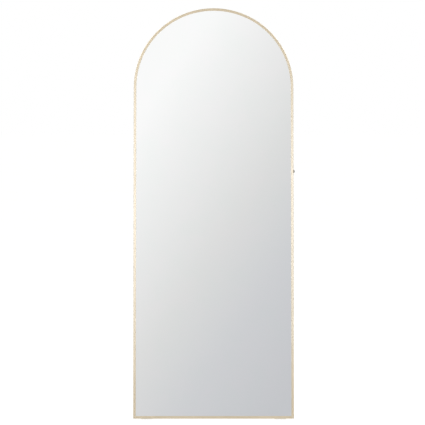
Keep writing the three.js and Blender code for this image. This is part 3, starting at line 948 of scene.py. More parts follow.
# -----------------------------------------------------------------------------------------------------
# Sub-assemblies
# -----------------------------------------------------------------------------------------------------


@dataclass
class SubAssembly:
    """What every sub-assembly shares: the layout and the list of the pieces that it has made."""

    layout: MirrorLayout = LAYOUT
    made: list[bpy.types.Object] = field(default_factory=list)

    def show(self, name: str, data: bpy.types.Mesh, axes: Matrix, finish: Finish, body: Body, node: str,
             pattern: Pattern = Pattern.PLACE) -> None:
        """Puts a new piece in the frame and lets it ride on its body.

        Args:
            name: The piece's name.
            data: Its mesh.
            axes: Where its own axes lie in the frame.
            finish: Its finish.
            body: The body that it moves with.
            node: The CAD node that it is shown instead of.
            pattern: Where its finish reads its coordinates.
        """
        piece = bpy.data.objects.new(name, data)
        bpy.context.scene.collection.objects.link(piece)
        piece.matrix_world = axes
        if not data.materials:
            data.materials.append(finish.material(pattern))
        even = piece.modifiers.new("even shading", "WEIGHTED_NORMAL")
        even.keep_sharp = True
        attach(piece, body.value)
        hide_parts(node)
        self.made.append(piece)

    def dress(self, node: str, finish: Finish) -> None:
        """Gives a CAD node that is shown as it is its finish.

        Args:
            node: The node's name.
            finish: Its finish.
        """
        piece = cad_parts[node]
        piece.data.materials.clear()
        piece.data.materials.append(finish.material())
        self.made.append(piece)

    def report(self) -> None:
        """Writes a line for each piece."""
        for piece in self.made:
            faces, material = len(piece.data.polygons), piece.data.materials[0].name
            log.info("%s: %s, %d faces, %s", type(self).__name__, piece.name, faces, material)


@dataclass(frozen=True)
class Station:
    """A cross-section of the channel: where inset and depth are zero, and the way that insets run."""

    outer: Vector
    inward: Vector
    shrunk: bool = False

    def ring(self, section: Sequence[Point2], chamfered: Sequence[Point2]) -> list[Vector]:
        """Sets the section here.

        Args:
            section: The section, as (inset, depth) points.
            chamfered: The slightly smaller section of a cut end.

        Returns:
            Its points in the panel's axes.
        """
        points = chamfered if self.shrunk else section
        return [self.outer + self.inward * inset + Vector((0, depth, 0)) for inset, depth in points]

    def flipped(self) -> "Station":
        """The same station on the other side of the middle plane."""
        flip = Vector((-1, 1, 1))
        return Station(self.outer * flip, self.inward * flip, self.shrunk)


@dataclass(frozen=True)
class SetScrew:
    """A headless screw with a hexagon socket in its upper end, which lies at zero height."""

    radius: float = 2.0
    length: float = 9.4
    tip_radius: float = 1.3
    tip_chamfer: float = 0.7
    end_chamfer: float = 0.3
    socket: float = 2.3  # across its corners
    socket_depth: float = 1.6
    socket_taper: float = 0.9
    sides: int = 32

    def data(self, name: str) -> bpy.types.Mesh:
        """Makes the screw.

        Args:
            name: The mesh's name.

        Returns:
            The mesh.
        """
        low, chamfer = -self.length, self.end_chamfer
        outline = [(0, low), (self.tip_radius, low), (self.radius, low + self.tip_chamfer),
                   (self.radius, -chamfer), (self.radius - chamfer, 0), (0, 0)]
        mouth = circle(self.socket / 2, HEXAGON)
        socket = Skin.prism(mouth, -self.socket_depth, CUT_PAST, self.socket_taper)
        return Skin.turned(outline, self.sides).carved(socket).data(name)


@dataclass
class ChannelFrame(SubAssembly):
    """The bent channel and its bottom rail, mitred together, with the keys and set screws of the joints."""

    lip: float = 1.6
    web_front: float = 10.8
    outer_radius: float = 0.9
    edge_radius: float = 0.35
    inside_radius: float = 0.4
    mitre_gap: float = 0.212  # along each piece, half of the joint
    end_chamfer: float = 0.15
    past_mitre: float = 40  # from the corner to the first square cross-section
    side_stations: tuple[float, ...] = (0.35, 0.7)  # further ones, as shares of the springing's height
    arch_steps: int = 180
    screw_hole: float = 2.3
    hole_sides: int = 32
    drill_start: float = 22  # behind the mirror's face
    drill_past: float = 5  # beyond the rear face
    corner_screw_inset: float = 28
    block_screw_drop: float = 30
    screw_end: float = 29.7  # behind the mirror's face

    def section(self) -> list[Point2]:
        """Draws the channel: a front lip, a pocket, a web, a pocket and a rear lip.

        Returns:
            Its outline, as (inset, depth) points.
        """
        layout, edge, inside = self.layout, self.edge_radius, self.inside_radius
        return rounded([
            Corner(0, 0, self.outer_radius),
            Corner(layout.face_width, 0, edge),
            Corner(layout.face_width, self.lip, edge),
            Corner(layout.wall, self.lip, inside),
            Corner(layout.wall, self.web_front, inside),
            Corner(layout.flange_width, self.web_front, edge),
            Corner(layout.flange_width, layout.pocket_front, edge),
            Corner(layout.wall, layout.pocket_front, inside),
            Corner(layout.wall, layout.pocket_back, inside),
            Corner(layout.flange_width, layout.pocket_back, edge),
            Corner(layout.flange_width, layout.depth, edge),
            Corner(0, layout.depth, self.outer_radius),
        ])

    def skin(self, stations: Sequence[Station]) -> Skin:
        """Runs the section through a row of stations.

        Args:
            stations: The stations in order.

        Returns:
            The skin.
        """
        section = self.section()
        chamfered = drawn_in(section, self.end_chamfer)
        return Skin.loft([station.ring(section, chamfered) for station in stations])

    def arch_stations(self) -> list[Station]:
        """Goes up the left side, round the top and down the right side.

        Returns:
            The stations in order.
        """
        half, springing = self.layout.half_width, self.layout.springing
        left = []
        for raised, shrunk in ((self.mitre_gap, True), (self.mitre_gap + self.end_chamfer, False)):
            left.append(Station(Vector((-half, 0, raised)), Vector((1, 0, 1)), shrunk))
        for height in (self.past_mitre, *(springing * share for share in self.side_stations)):
            left.append(Station(Vector((-half, 0, height)), Vector((1, 0, 0))))
        top = []
        for step in range(self.arch_steps + 1):
            angle = math.pi * (1 - step / self.arch_steps)
            out = Vector((math.cos(angle), 0, math.sin(angle)))
            top.append(Station(out * half + Vector((0, 0, springing)), -out))
        return [*left, *top, *(station.flipped() for station in reversed(left))]

    def rail_stations(self) -> list[Station]:
        """Goes across the bottom, from mitre to mitre.

        Returns:
            The stations in order.
        """
        half = self.layout.half_width - self.mitre_gap
        left = [
            Station(Vector((-half, 0, 0)), Vector((1, 0, 1)), True),
            Station(Vector((-half + self.end_chamfer, 0, 0)), Vector((1, 0, 1))),
            Station(Vector((-half + self.past_mitre, 0, 0)), Vector((0, 0, 1))),
        ]
        return [*left, *(station.flipped() for station in reversed(left))]

    def straightened(self, place: Vector) -> Vector:
        """Finds where a point of the channel would lie, had it not been bent.

        Args:
            place: The point in the panel's axes.

        Returns:
            Its place along the channel, its inset and its depth.
        """
        half, springing = self.layout.half_width, self.layout.springing
        if place.z > springing:
            angle = math.atan2(place.z - springing, place.x)
            radius = math.hypot(place.x, place.z - springing)
            return Vector((springing + half * (math.pi - angle), half - radius, place.y))
        along = place.z if place.x < 0 else 2 * springing + half * math.pi - place.z
        return Vector((along, half - abs(place.x), place.y))

    def straightened_rail(self, place: Vector) -> Vector:
        """The same for the bottom rail, which is straight."""
        return Vector((place.x, place.z, place.y))

    def bored(self, skin: Skin, places: Sequence[Point2]) -> Skin:
        """Bores the rear lip for set screws.

        Args:
            skin: The channel.
            places: Where the screws stand, as (x, z).

        Returns:
            The channel with its holes.
        """
        for x, z in places:
            drill = Skin.prism(circle(self.screw_hole, self.hole_sides), self.drill_start,
                               self.layout.depth + self.drill_past)
            skin.carved(drill.transformed(Matrix.Translation((x, 0, z)) @ Facing.BACK.matrix))
        return skin

    def build(self) -> None:
        """Makes the arch, the rail, the keys and the set screws."""
        layout = self.layout
        half, line = layout.half_width, layout.half_width - layout.hardware_inset
        block_screw = layout.pivot_height - self.block_screw_drop
        side_places = [(sign * line, z) for sign in (-1, 1) for z in (self.corner_screw_inset, block_screw)]
        rail_places = [(sign * (half - self.corner_screw_inset), layout.hardware_inset) for sign in (-1, 1)]
        arch = self.bored(self.skin(self.arch_stations()), side_places)
        rail = self.bored(self.skin(self.rail_stations()), rail_places)
        self.show("frame_arch", arch.data("frame_arch", self.straightened), layout.panel,
                  ChampagneAnodised(), Body.MIRROR, "arch_frame", Pattern.RUN)
        self.show("frame_rail", rail.data("frame_rail", self.straightened_rail), layout.panel,
                  ChampagneAnodised(), Body.MIRROR, "bottom_rail", Pattern.RUN)
        screw = SetScrew().data("set_screw")
        for side in Side:
            self.dress(f"corner_key_{side.label}", CastZinc())
            on_rail = (side.value * (half - self.corner_screw_inset), layout.hardware_inset)
            places = {
                f"corner_screw_{side.label}_side": (side.value * line, self.corner_screw_inset),
                f"corner_screw_{side.label}_rail": on_rail,
                f"block_screw_{side.label}": (side.value * line, block_screw),
            }
            for node, (x, z) in places.items():
                axes = layout.panel @ moved(x, self.screw_end, z) @ Facing.BACK.matrix
                self.show(f"socketed_{node}", screw, axes, ZincPlate(), Body.MIRROR, node)


@dataclass
class GlassPackage(SubAssembly):
    """What the channel's front pocket holds: the glass, its liner, its board and two rubber blocks."""

    def build(self) -> None:
        """Gives the flat sheets their finishes. Their plain cut shapes are right as they are."""
        self.dress("mirror_glass", SilveredGlass())
        self.dress("foam_liner", Foam())
        self.dress("backing_board", Hardboard())
        for side in Side:
            self.dress(f"setting_block_{side.label}", BlackRubber())


@dataclass(frozen=True)
class RoundHeadScrew:
    """A screw with a domed head and a driven recess, its seat at zero height and its head above."""

    radius: float = 2.0
    length: float = 9.0
    head_radius: float = 3.6
    head_height: float = 2.5
    flat_radius: float = 1.6
    rim: float = 0.6
    hexagon: float = 0.0  # across the corners of a socket; zero gives a cross recess
    seat_chamfer: float = 0.2
    tip_radius: float = 0.6  # this and the next as shares of the shank's radius
    tip_height: float = 0.4
    cross_reach: float = 0.55  # this and the next as shares of the head's radius
    cross_half_width: float = 0.13
    cross_floor: float = 0.4  # this and the next as shares of the head's height
    socket_floor: float = 0.45
    cross_taper: float = 0.45
    cross_past: float = 0.2
    crown_steps: int = 8
    sides: int = 40

    def outline(self) -> list[Point2]:
        """Draws half of the screw.

        Returns:
            Its outline, as (radius, height) points.
        """
        across, rise = self.head_radius - self.flat_radius, self.head_height - self.rim
        crown = [(self.flat_radius + across * math.cos(turn), self.rim + rise * math.sin(turn))
                 for turn in quarter_turn(self.crown_steps)]
        low, chamfer = -self.length, self.seat_chamfer
        tip = [(0, low), (self.radius * self.tip_radius, low),
               (self.radius, low + self.radius * self.tip_height)]
        seat = [(self.radius, 0), (self.head_radius - chamfer, 0), (self.head_radius, chamfer)]
        return [*tip, *seat, *crown, (0, self.head_height)]

    def cross(self) -> list[Point2]:
        """Draws a cross recess.

        Returns:
            Its outline.
        """
        reach, half = self.head_radius * self.cross_reach, self.head_radius * self.cross_half_width
        return [(reach, -half), (reach, half), (half, half), (half, reach),
                (-half, reach), (-half, half), (-reach, half), (-reach, -half),
                (-half, -half), (-half, -reach), (half, -reach), (half, -half)]

    def data(self, name: str) -> bpy.types.Mesh:
        """Makes the screw.

        Args:
            name: The mesh's name.

        Returns:
            The mesh.
        """
        height = self.head_height
        if self.hexagon > 0:
            socket = circle(self.hexagon / 2, HEXAGON)
            recess = Skin.prism(socket, height * self.socket_floor, height + CUT_PAST)
        else:
            recess = Skin.prism(self.cross(), height * self.cross_floor, height + self.cross_past,
                                self.cross_taper)
        return Skin.turned(self.outline(), self.sides).carved(recess).data(name)


@dataclass
class CrossBrace(SubAssembly):
    """The rectangular tube between the two sides, with its screws and two D-ring hangers."""

    half_length: float = 348.1
    front: float = 12.5
    back: float = 28.1
    half_height: float = 15
    wall: float = 1.4
    corner: float = 1.5
    least_inside_corner: float = 0.3
    brace_screw_length: float = 9.3
    hanger_middle: float = 220
    strap_width: float = 10
    strap_thickness: float = 1.2
    strap_edge: float = 0.3
    strap_margin: float = 1  # from the strap's lower end to the brace's edge
    strap_end_steps: int = 6
    least_half_width: float = 0.6  # at the tip of the strap's rounded end
    strap_screw_length: float = 7
    curl: float = 300  # how far the strap goes round the ring's bar, in degrees
    curl_steps: int = 20
    loop_drop: float = 3
    loop_bore: float = 1.5
    screw_drop: float = 20
    wire: float = 1.2
    wire_sides: int = 16
    ring_half: float = 7
    ring_drop: float = 12
    ring_corner: float = 1.6
    bow_steps: int = 24
    corner_steps: int = 5

    @property
    def loop_height(self) -> float:
        """The height of the ring's straight bar."""
        return self.layout.brace_centre + self.half_height - self.loop_drop

    @property
    def loop_depth(self) -> float:
        """The depth of the ring's straight bar."""
        return self.layout.pocket_back + self.loop_bore + self.strap_thickness

    def tube(self) -> Skin:
        """Makes the rectangular tube, open at both ends.

        Returns:
            The tube in the panel's axes.
        """
        rings = []
        for grow, ends in ((0.0, (-1, 1)), (-self.wall, (1, -1))):
            radius = max(self.corner + grow, self.least_inside_corner)
            low = self.layout.brace_centre - self.half_height - grow
            high = self.layout.brace_centre + self.half_height + grow
            near, far = self.front - grow, self.back + grow
            section = rounded([Corner(near, low, radius), Corner(far, low, radius),
                               Corner(far, high, radius), Corner(near, high, radius)])
            rings += [[Vector((end * self.half_length, y, z)) for y, z in section] for end in ends]
        return Skin.loft(rings, loop=True)

    def strap(self) -> Skin:
        """Makes the strap that lies on the brace and curls round the ring's bar, with a rounded lower end.

        Returns:
            The strap, with the bar's axis at zero.
        """
        half_width, thick = self.strap_width / 2, self.strap_thickness
        bottom = -2 * self.half_height + self.loop_drop + self.strap_margin
        middle = self.loop_bore + thick / 2
        path: list[tuple[Point2, Point2, float]] = []  # (depth, height), which way is outwards, half-width
        for turn in quarter_turn(self.strap_end_steps):
            height = bottom + half_width * (1 - math.cos(turn))
            half = max(half_width * math.sin(turn), self.least_half_width)
            path.append(((-middle, height), (-1, 0), half))
        for out in arc(1, (0, 0), 180, 180 - self.curl, self.curl_steps):
            path.append(((middle * out[0], middle * out[1]), out, half_width))
        rings = []
        for (depth, height), (out_y, out_z), half in path:
            corners = [(-half, -thick / 2), (half, -thick / 2), (half, thick / 2), (-half, thick / 2)]
            section = rounded([Corner(x, t, self.strap_edge) for x, t in corners], 2)
            rings.append([Vector((x, depth + out_y * t, height + out_z * t)) for x, t in section])
        return Skin.loft(rings)

    def ring(self) -> Skin:
        """Makes the D-ring: a straight bar across the top and a half-round bow below it.

        Returns:
            The ring, with the bar's axis at zero.
        """
        half, corner = self.ring_half, self.ring_corner
        straight = self.ring_drop - half
        line = [*arc(half, (0, -straight), 180, 360, self.bow_steps)]
        line += arc(corner, (half - corner, -corner), 0, 90, self.corner_steps)
        line += arc(corner, (-half + corner, -corner), 90, 180, self.corner_steps)
        section = circle(self.wire, self.wire_sides)
        rings = []
        for index, (x, z) in enumerate(line):
            after, before = line[(index + 1) % len(line)], line[index - 1]
            along = Vector((after[0] - before[0], 0, after[1] - before[1])).normalized()
            across = Vector((along.z, 0, -along.x))
            rings.append([Vector((x, 0, z)) + across * a + Vector((0, b, 0)) for a, b in section])
        return Skin.loft(rings, loop=True)

    def build(self) -> None:
        """Makes the brace, its screws and the hangers."""
        layout = self.layout
        self.show("brace_tube", self.tube().data("brace_tube"), layout.panel, MillAluminium(), Body.MIRROR,
                  "cross_brace")
        brace_screw = RoundHeadScrew(length=self.brace_screw_length).data("brace_screw")
        strap_screw = RoundHeadScrew(length=self.strap_screw_length).data("strap_screw")
        strap = self.strap().data("strap")
        ring = self.ring().data("ring")
        strap_back = layout.pocket_back + self.strap_thickness
        screw_height = self.loop_height - self.screw_drop
        for side in Side:
            x = side.value * (layout.half_width - layout.hardware_inset)
            seat = layout.panel @ moved(x, layout.depth, layout.brace_centre) @ Facing.BACK.matrix
            self.show(f"driven_brace_screw_{side.label}", brace_screw, seat, ZincPlate(), Body.MIRROR,
                      f"brace_screw_{side.label}")
            x = side.value * self.hanger_middle
            loop = layout.panel @ moved(x, self.loop_depth, self.loop_height)
            self.show(f"curled_strap_{side.label}", strap, loop, ZincPlate(), Body.MIRROR,
                      f"hanger_strap_{side.label}")
            seat = layout.panel @ moved(x, strap_back, screw_height) @ Facing.BACK.matrix
            self.show(f"driven_hanger_screw_{side.label}", strap_screw, seat, ZincPlate(), Body.MIRROR,
                      f"hanger_screw_{side.label}")
            body = Body.RING_LEFT if side is Side.LEFT else Body.RING_RIGHT
            self.show(f"wire_ring_{side.label}", ring, loop @ turned_x(layout.lean), ZincPlate(), body,
                      f"hanger_ring_{side.label}")


@dataclass(frozen=True)
class SpacerBush:
    """A plain spacer, bored along the Z axis."""

    half_length: float
    bore: float = 3.3
    radius: float = 4.5
    chamfer: float = 0.3
    sides: int = 40

    def data(self, name: str) -> bpy.types.Mesh:
        """Makes the bush.

        Args:
            name: The mesh's name.

        Returns:
            The mesh.
        """
        half, rim = self.half_length, self.radius - self.chamfer
        outline = [(self.bore, -half), (rim, -half), (self.radius, -half + self.chamfer),
                   (self.radius, half - self.chamfer), (rim, half), (self.bore, half)]
        return Skin.turned(outline, self.sides, bored=True).data(name)


@dataclass(frozen=True)
class LockNut:
    """A hexagon nut with chamfered corners, from zero height up."""

    across_flats: float = 10
    height: float = 5.3
    bore: float = 3.3
    face_radius: float = 4.9  # of the round faces that the chamfers leave
    chamfer: float = 0.55
    corner_play: float = 0.1  # that the chamfering cone keeps outside the corners
    bore_sides: int = 32
    sides: int = 48

    def data(self, name: str) -> bpy.types.Mesh:
        """Makes the nut.

        Args:
            name: The mesh's name.

        Returns:
            The mesh.
        """
        height, corner = self.height, self.across_flats / math.sqrt(3)
        reach = corner + self.corner_play
        low, high = self.chamfer, height - self.chamfer
        limit = Skin.turned([(0, 0), (self.face_radius, 0), (reach, low), (reach, high),
                             (self.face_radius, height), (0, height)], self.sides)
        drill = Skin.prism(circle(self.bore, self.bore_sides), -CUT_PAST, height + CUT_PAST)
        nut = Skin.prism(circle(corner, HEXAGON), 0, height)
        return nut.carved(limit, Carve.MEET).carved(drill).data(name)


@dataclass
class StandHinge(SubAssembly):
    """The folded bracket that carries one leg of the stand, with its pivot and screws."""

    side: Side = Side.LEFT
    half_outside: float = 11  # from the leg's middle to the outside of each cheek
    thickness: float = 2
    bend: float = 2.4  # outside radius of the fold
    bend_steps: int = 6
    bridge_back: float = 10.3
    bridge_start: float = 14
    bridge_end: float = 40
    outer_top: float = 46
    inner_top: float = 12
    bottom: float = -42
    front: float = -9
    back: float = 6.6
    toe_radius: float = 3
    cheek_radius: float = 4
    bridge_radius: float = 1
    edge_radius: float = 0.25
    pivot_hole: float = 3.3
    screw_hole: float = 2.3
    hole_sides: int = 28
    screw_heights: tuple[float, float] = (22, 37)
    screw_depth: float = -1.2
    bush_play: float = 0.3
    screw: RoundHeadScrew = RoundHeadScrew(length=9)
    inside_screw: RoundHeadScrew = RoundHeadScrew(
        radius=3, length=29.4, head_radius=5.5, head_height=3.6, flat_radius=2.6, rim=0.8, hexagon=4.6)
    dark_screw: RoundHeadScrew = RoundHeadScrew(
        radius=3, length=38.1, head_radius=6.25, head_height=4.8, flat_radius=3.2, rim=1.4, hexagon=4.6)

    def beside_leg(self, depth: float, height: float) -> Point2:
        """Finds where a point lies beside the open leg.

        Args:
            depth: Its depth behind the pivot, square to the glass.
            height: Its height above the pivot, along the glass.

        Returns:
            How far it lies behind the leg's centre line, and how far along the leg from the pivot.
        """
        turn = math.radians(self.layout.open_angle)
        behind = depth * math.cos(turn) + height * math.sin(turn)
        along = depth * math.sin(turn) - height * math.cos(turn)
        return behind, along

    def unfolded(self, behind: float) -> float:
        """How far across the blank a point of a cheek lies that is so far behind the leg's centre line."""
        fold, flat = self.bridge_back - self.bend, self.half_outside - self.bend
        return flat + self.bend * math.pi / 2 + fold - behind

    def cheek(self, top: float) -> list[Corner]:
        """Lays out one cheek, from the lower end of the bridge round to its upper end.

        Args:
            top: The cheek's height above the pivot.

        Returns:
            Its corners, as (across, along) points on the blank's positive side.
        """
        fold, round_off = self.bridge_back - self.bend, self.bridge_radius
        turn = math.radians(self.layout.open_angle)
        toe = self.bridge_end * math.sin(turn) + self.bridge_back * math.cos(turn) - self.thickness
        corners = [(toe, self.bottom, self.toe_radius), (self.front, self.bottom, self.cheek_radius),
                   (self.front, top, self.cheek_radius), (self.back, top, self.cheek_radius),
                   (self.back, self.inner_top / 2, round_off)]
        placed = [(*self.beside_leg(depth, height), radius) for depth, height, radius in corners]
        ring = [(fold, self.bridge_end, round_off), *placed, (fold, self.bridge_start, round_off)]
        return [Corner(self.unfolded(behind), along, radius) for behind, along, radius in ring]

    def hole(self, depth: float, height: float, radius: float, sign: int) -> list[Point2]:
        """Lays out a round hole in a cheek.

        Args:
            depth: Its depth behind the pivot.
            height: Its height above the pivot.
            radius: Its radius.
            sign: The cheek: one for the outer, minus one for the inner.

        Returns:
            Its outline on the blank.
        """
        behind, along = self.beside_leg(depth, height)
        return circle(radius, self.hole_sides, (sign * self.unfolded(behind), along))

    def folded_place(self, across: float, along: float, depth: float) -> Vector:
        """Folds a point of the blank.

        Args:
            across: Its place across the blank.
            along: Its place along the blank.
            depth: How far it lies below the blank's outer face.

        Returns:
            Its place in the panel's axes.
        """
        flat, fold = self.half_outside - self.bend, self.bridge_back - self.bend
        arc_length = self.bend * math.pi / 2
        sign, far = math.copysign(1, across), abs(across)
        radius = self.bend - depth
        turn = min(max((far - flat) / self.bend, 0), math.pi / 2)
        x = sign * (min(far, flat) + radius * math.sin(turn))
        behind = fold + radius * math.cos(turn) - max(far - flat - arc_length, 0)
        lean = math.radians(self.layout.open_angle)
        y = self.layout.pivot_depth + along * math.sin(lean) + behind * math.cos(lean)
        z = self.layout.pivot_height - along * math.cos(lean) + behind * math.sin(lean)
        return Vector((self.side.value * (self.layout.leg_centre + x), y, z))

    def bracket(self) -> Skin:
        """Makes the bracket from its blank, whose outer cheek lies on the positive side.

        Returns:
            The folded bracket in the panel's axes.
        """
        inner = [Corner(-corner.x, corner.y, corner.radius) for corner in self.cheek(self.inner_top)]
        outline = rounded([*self.cheek(self.outer_top), *reversed(inner)])
        holes = [self.hole(0, 0, self.pivot_hole, sign) for sign in (1, -1)]
        holes += [self.hole(self.screw_depth, height, self.screw_hole, 1) for height in self.screw_heights]
        flat = self.half_outside - self.bend
        lines = [flat + self.bend * math.pi / 2 * step / self.bend_steps
                 for step in range(self.bend_steps + 1)]
        bends = [sign * line for sign in (-1, 1) for line in lines]
        folded = Skin.folded(outline, holes, bends, self.folded_place, self.thickness)
        return folded.bevelled(self.edge_radius)

    def build(self) -> None:
        """Makes the bracket, the bush, the screws and, on the right, the lock nut."""
        layout, label, sign = self.layout, self.side.label, self.side.value
        self.dress(f"hinge_block_{label}", CastZinc())
        self.show(f"folded_bracket_{label}", self.bracket().data(f"folded_bracket_{label}"), layout.panel,
                  ZincPlate(), Body.MIRROR, f"hinge_bracket_{label}")
        pivot = layout.panel @ moved(sign * layout.leg_centre, layout.pivot_depth, layout.pivot_height)
        bush = SpacerBush(self.half_outside - self.thickness - self.bush_play).data("bush")
        self.show(f"turned_bush_{label}", bush, pivot @ Facing.RIGHT.matrix, Nylon(), Body.MIRROR,
                  f"pivot_bush_{label}")
        inwards = Facing.RIGHT if self.side is Side.LEFT else Facing.LEFT
        screw = self.screw.data("bracket_screw")
        x = sign * (layout.leg_centre + self.half_outside - self.thickness)
        y = layout.pivot_depth + self.screw_depth
        for index, height in enumerate(self.screw_heights):
            seat = layout.panel @ moved(x, y, layout.pivot_height + height) @ inwards.matrix
            node = f"bracket_screw_{label}_{index + 1}"
            self.show(f"driven_{node}", screw, seat, ZincPlate(), Body.MIRROR, node)
        self.build_pivot()

    def build_pivot(self) -> None:
        """Makes the pivot screw: from inside on the left, through a dark head outside on the right."""
        layout, sign = self.layout, self.side.value
        inner_cheek = layout.leg_centre - self.half_outside
        inside = layout.panel @ moved(sign * inner_cheek, layout.pivot_depth, layout.pivot_height)
        if self.side is Side.LEFT:
            screw = self.inside_screw.data("pivot_screw_inside")
            self.show("pivot_screw_inside", screw, inside @ Facing.RIGHT.matrix, ZincPlate(), Body.MIRROR,
                      "pivot_screw_left")
            return
        outside = layout.panel @ moved(layout.half_width, layout.pivot_depth, layout.pivot_height)
        screw = self.dark_screw.data("pivot_screw_dark_head")
        self.show("pivot_screw_dark_head", screw, outside @ Facing.RIGHT.matrix, BronzedSteel(), Body.MIRROR,
                  "pivot_screw_right")
        nut = LockNut().data("hexagon_lock_nut")
        self.show("hexagon_lock_nut", nut, inside @ Facing.LEFT.matrix, ZincPlate(), Body.MIRROR,
                  "lock_nut_right")


@dataclass(frozen=True)
class EndPlug:
    """A domed plug with a ribbed stem for the end of a tube, its axis along Z."""

    base: float  # the height of the tube's end
    top: float
    tube_radius: float
    bore: float
    # the stem's ribs, as (inwards of the bore, below the tube's end)
    stem: tuple[Point2, ...] = ((0.9, 3), (0.2, 2.4), (0.5, 1.8), (0.1, 1.2), (0.3, 0))
    head_chamfer: float = 0.1
    rim: float = 0.2
    dome_base: float = 0.4
    dome_height: float = 1.2
    dome_steps: int = 6
    sides: int = 48

    def data(self, name: str) -> bpy.types.Mesh:
        """Makes the plug.

        Args:
            name: The mesh's name.

        Returns:
            The mesh.
        """
        stem = [(self.bore - inwards, self.base - below) for inwards, below in self.stem]
        head = [(self.tube_radius - self.head_chamfer, self.base), (self.tube_radius, self.base + self.rim)]
        low = self.base + self.dome_base
        dome = [(self.tube_radius * math.cos(turn), low + self.dome_height * math.sin(turn))
                for turn in quarter_turn(self.dome_steps)[:-1]]
        outline = [(0, stem[0][1]), *stem, *head, *dome, (0, self.top)]
        return Skin.turned(outline, self.sides).data(name)


@dataclass(frozen=True)
class FootSleeve:
    """A grooved rubber sleeve with a flat sole, its bore along X and its sole below."""

    bore: float
    sole_depth: float
    radius: float = 10
    length: float = 46
    end: tuple[Point2, ...] = ((1.6, 0), (0.5, 0.5), (0, 1.6))  # the rounding, as (in, from the end)
    groove: float = 0.8
    groove_places: tuple[float, ...] = (-15, -9, -3, 3, 9, 15)
    groove_mouth: float = 1.2  # half of its width at the surface
    groove_floor: float = 0.7
    sides: int = 72
    cut_past: float = 5
    cut_half_width: float = 20

    def data(self, name: str) -> bpy.types.Mesh:
        """Makes the sleeve.

        Args:
            name: The mesh's name.

        Returns:
            The mesh.
        """
        half, radius, low = self.length / 2, self.radius, self.radius - self.groove
        grooves: list[Point2] = []
        for middle in self.groove_places:
            grooves += [(radius, middle - self.groove_mouth), (low, middle - self.groove_floor),
                        (low, middle + self.groove_floor), (radius, middle + self.groove_mouth)]
        first = [(radius - inward, along - half) for inward, along in self.end]
        last = [(radius - inward, half - along) for inward, along in reversed(self.end)]
        outline = [(self.bore, -half), *first, *grooves, *last, (self.bore, half)]
        sleeve = Skin.turned(outline, self.sides, bored=True).transformed(Facing.RIGHT.matrix)
        span, wide = half + self.cut_past, self.cut_half_width
        below = Skin.prism([(-span, -wide), (span, -wide), (span, wide), (-span, wide)],
                           -radius - self.cut_past, -self.sole_depth)
        return sleeve.carved(below).data(name)


@dataclass
class FoldingStand(SubAssembly):
    """The bent tube that the mirror leans on, with its end plugs and rubber feet."""

    radius: float = 8
    wall: float = 1.2
    bend: float = 60
    bend_steps: int = 24
    sides: int = 48
    top: float = 8.6
    plug_top: float = 10.2
    bush_hole: float = 4.9
    hole_sides: int = 40
    drill_reach: float = 15
    foot_middle: float = 225
    foot_play: float = 0.06

    def straightened(self, place: Vector) -> Vector:
        """Finds where a point of the tube would lie, had it not been bent.

        Args:
            place: The point in the stand's axes.

        Returns:
            Its place along the tube, across it and its depth.
        """
        half, bottom = self.layout.leg_centre, -self.layout.leg_length
        turn_z, turn_x = bottom + self.bend, half - self.bend
        quarter = self.bend * math.pi / 2
        sign = math.copysign(1, place.x)
        if place.z >= turn_z:
            return Vector((sign * (turn_x + quarter + place.z - turn_z), half - abs(place.x), place.y))
        if abs(place.x) <= turn_x:
            return Vector((place.x, place.z - bottom, place.y))
        out, down = abs(place.x) - turn_x, turn_z - place.z
        angle = math.atan2(out, down)
        return Vector((sign * (turn_x + self.bend * angle), self.bend - math.hypot(out, down), place.y))

    def tube(self) -> Skin:
        """Makes the hollow tube, with the bush's hole through each leg.

        Returns:
            The tube in the stand's axes.
        """
        path = u_path(self.layout.leg_centre, self.top, -self.layout.leg_length, self.bend, self.bend_steps)
        outside = rings_along(path, self.radius, self.sides)
        inside = rings_along(path, self.radius - self.wall, self.sides)
        tube = Skin.loft([*outside, *reversed(inside)], loop=True)
        for side in Side:
            drill = Skin.prism(circle(self.bush_hole, self.hole_sides), -self.drill_reach, self.drill_reach)
            drill.transformed(Facing.RIGHT.matrix)
            tube.carved(drill.transformed(Matrix.Translation((side.value * self.layout.leg_centre, 0, 0))))
        return tube

    def build(self) -> None:
        """Makes the tube, the plugs and the feet."""
        layout = self.layout
        self.show("bent_tube", self.tube().data("bent_tube", self.straightened), layout.stand,
                  ChampagnePowderCoat(), Body.STAND, "stand_tube", Pattern.RUN)
        plug = EndPlug(self.top, self.plug_top, self.radius, self.radius - self.wall).data("plug")
        foot = FootSleeve(self.radius + self.foot_play, layout.sole_depth).data("foot")
        for side in Side:
            top = layout.stand @ moved(side.value * layout.leg_centre, 0, 0)
            self.show(f"domed_plug_{side.label}", plug, top, MouldedPlastic(), Body.STAND,
                      f"tube_plug_{side.label}")
            bar = layout.floor_bar @ moved(side.value * self.foot_middle, 0, 0)
            self.show(f"grooved_foot_{side.label}", foot, bar, BlackRubber(), Body.STAND,
                      f"stand_foot_{side.label}")


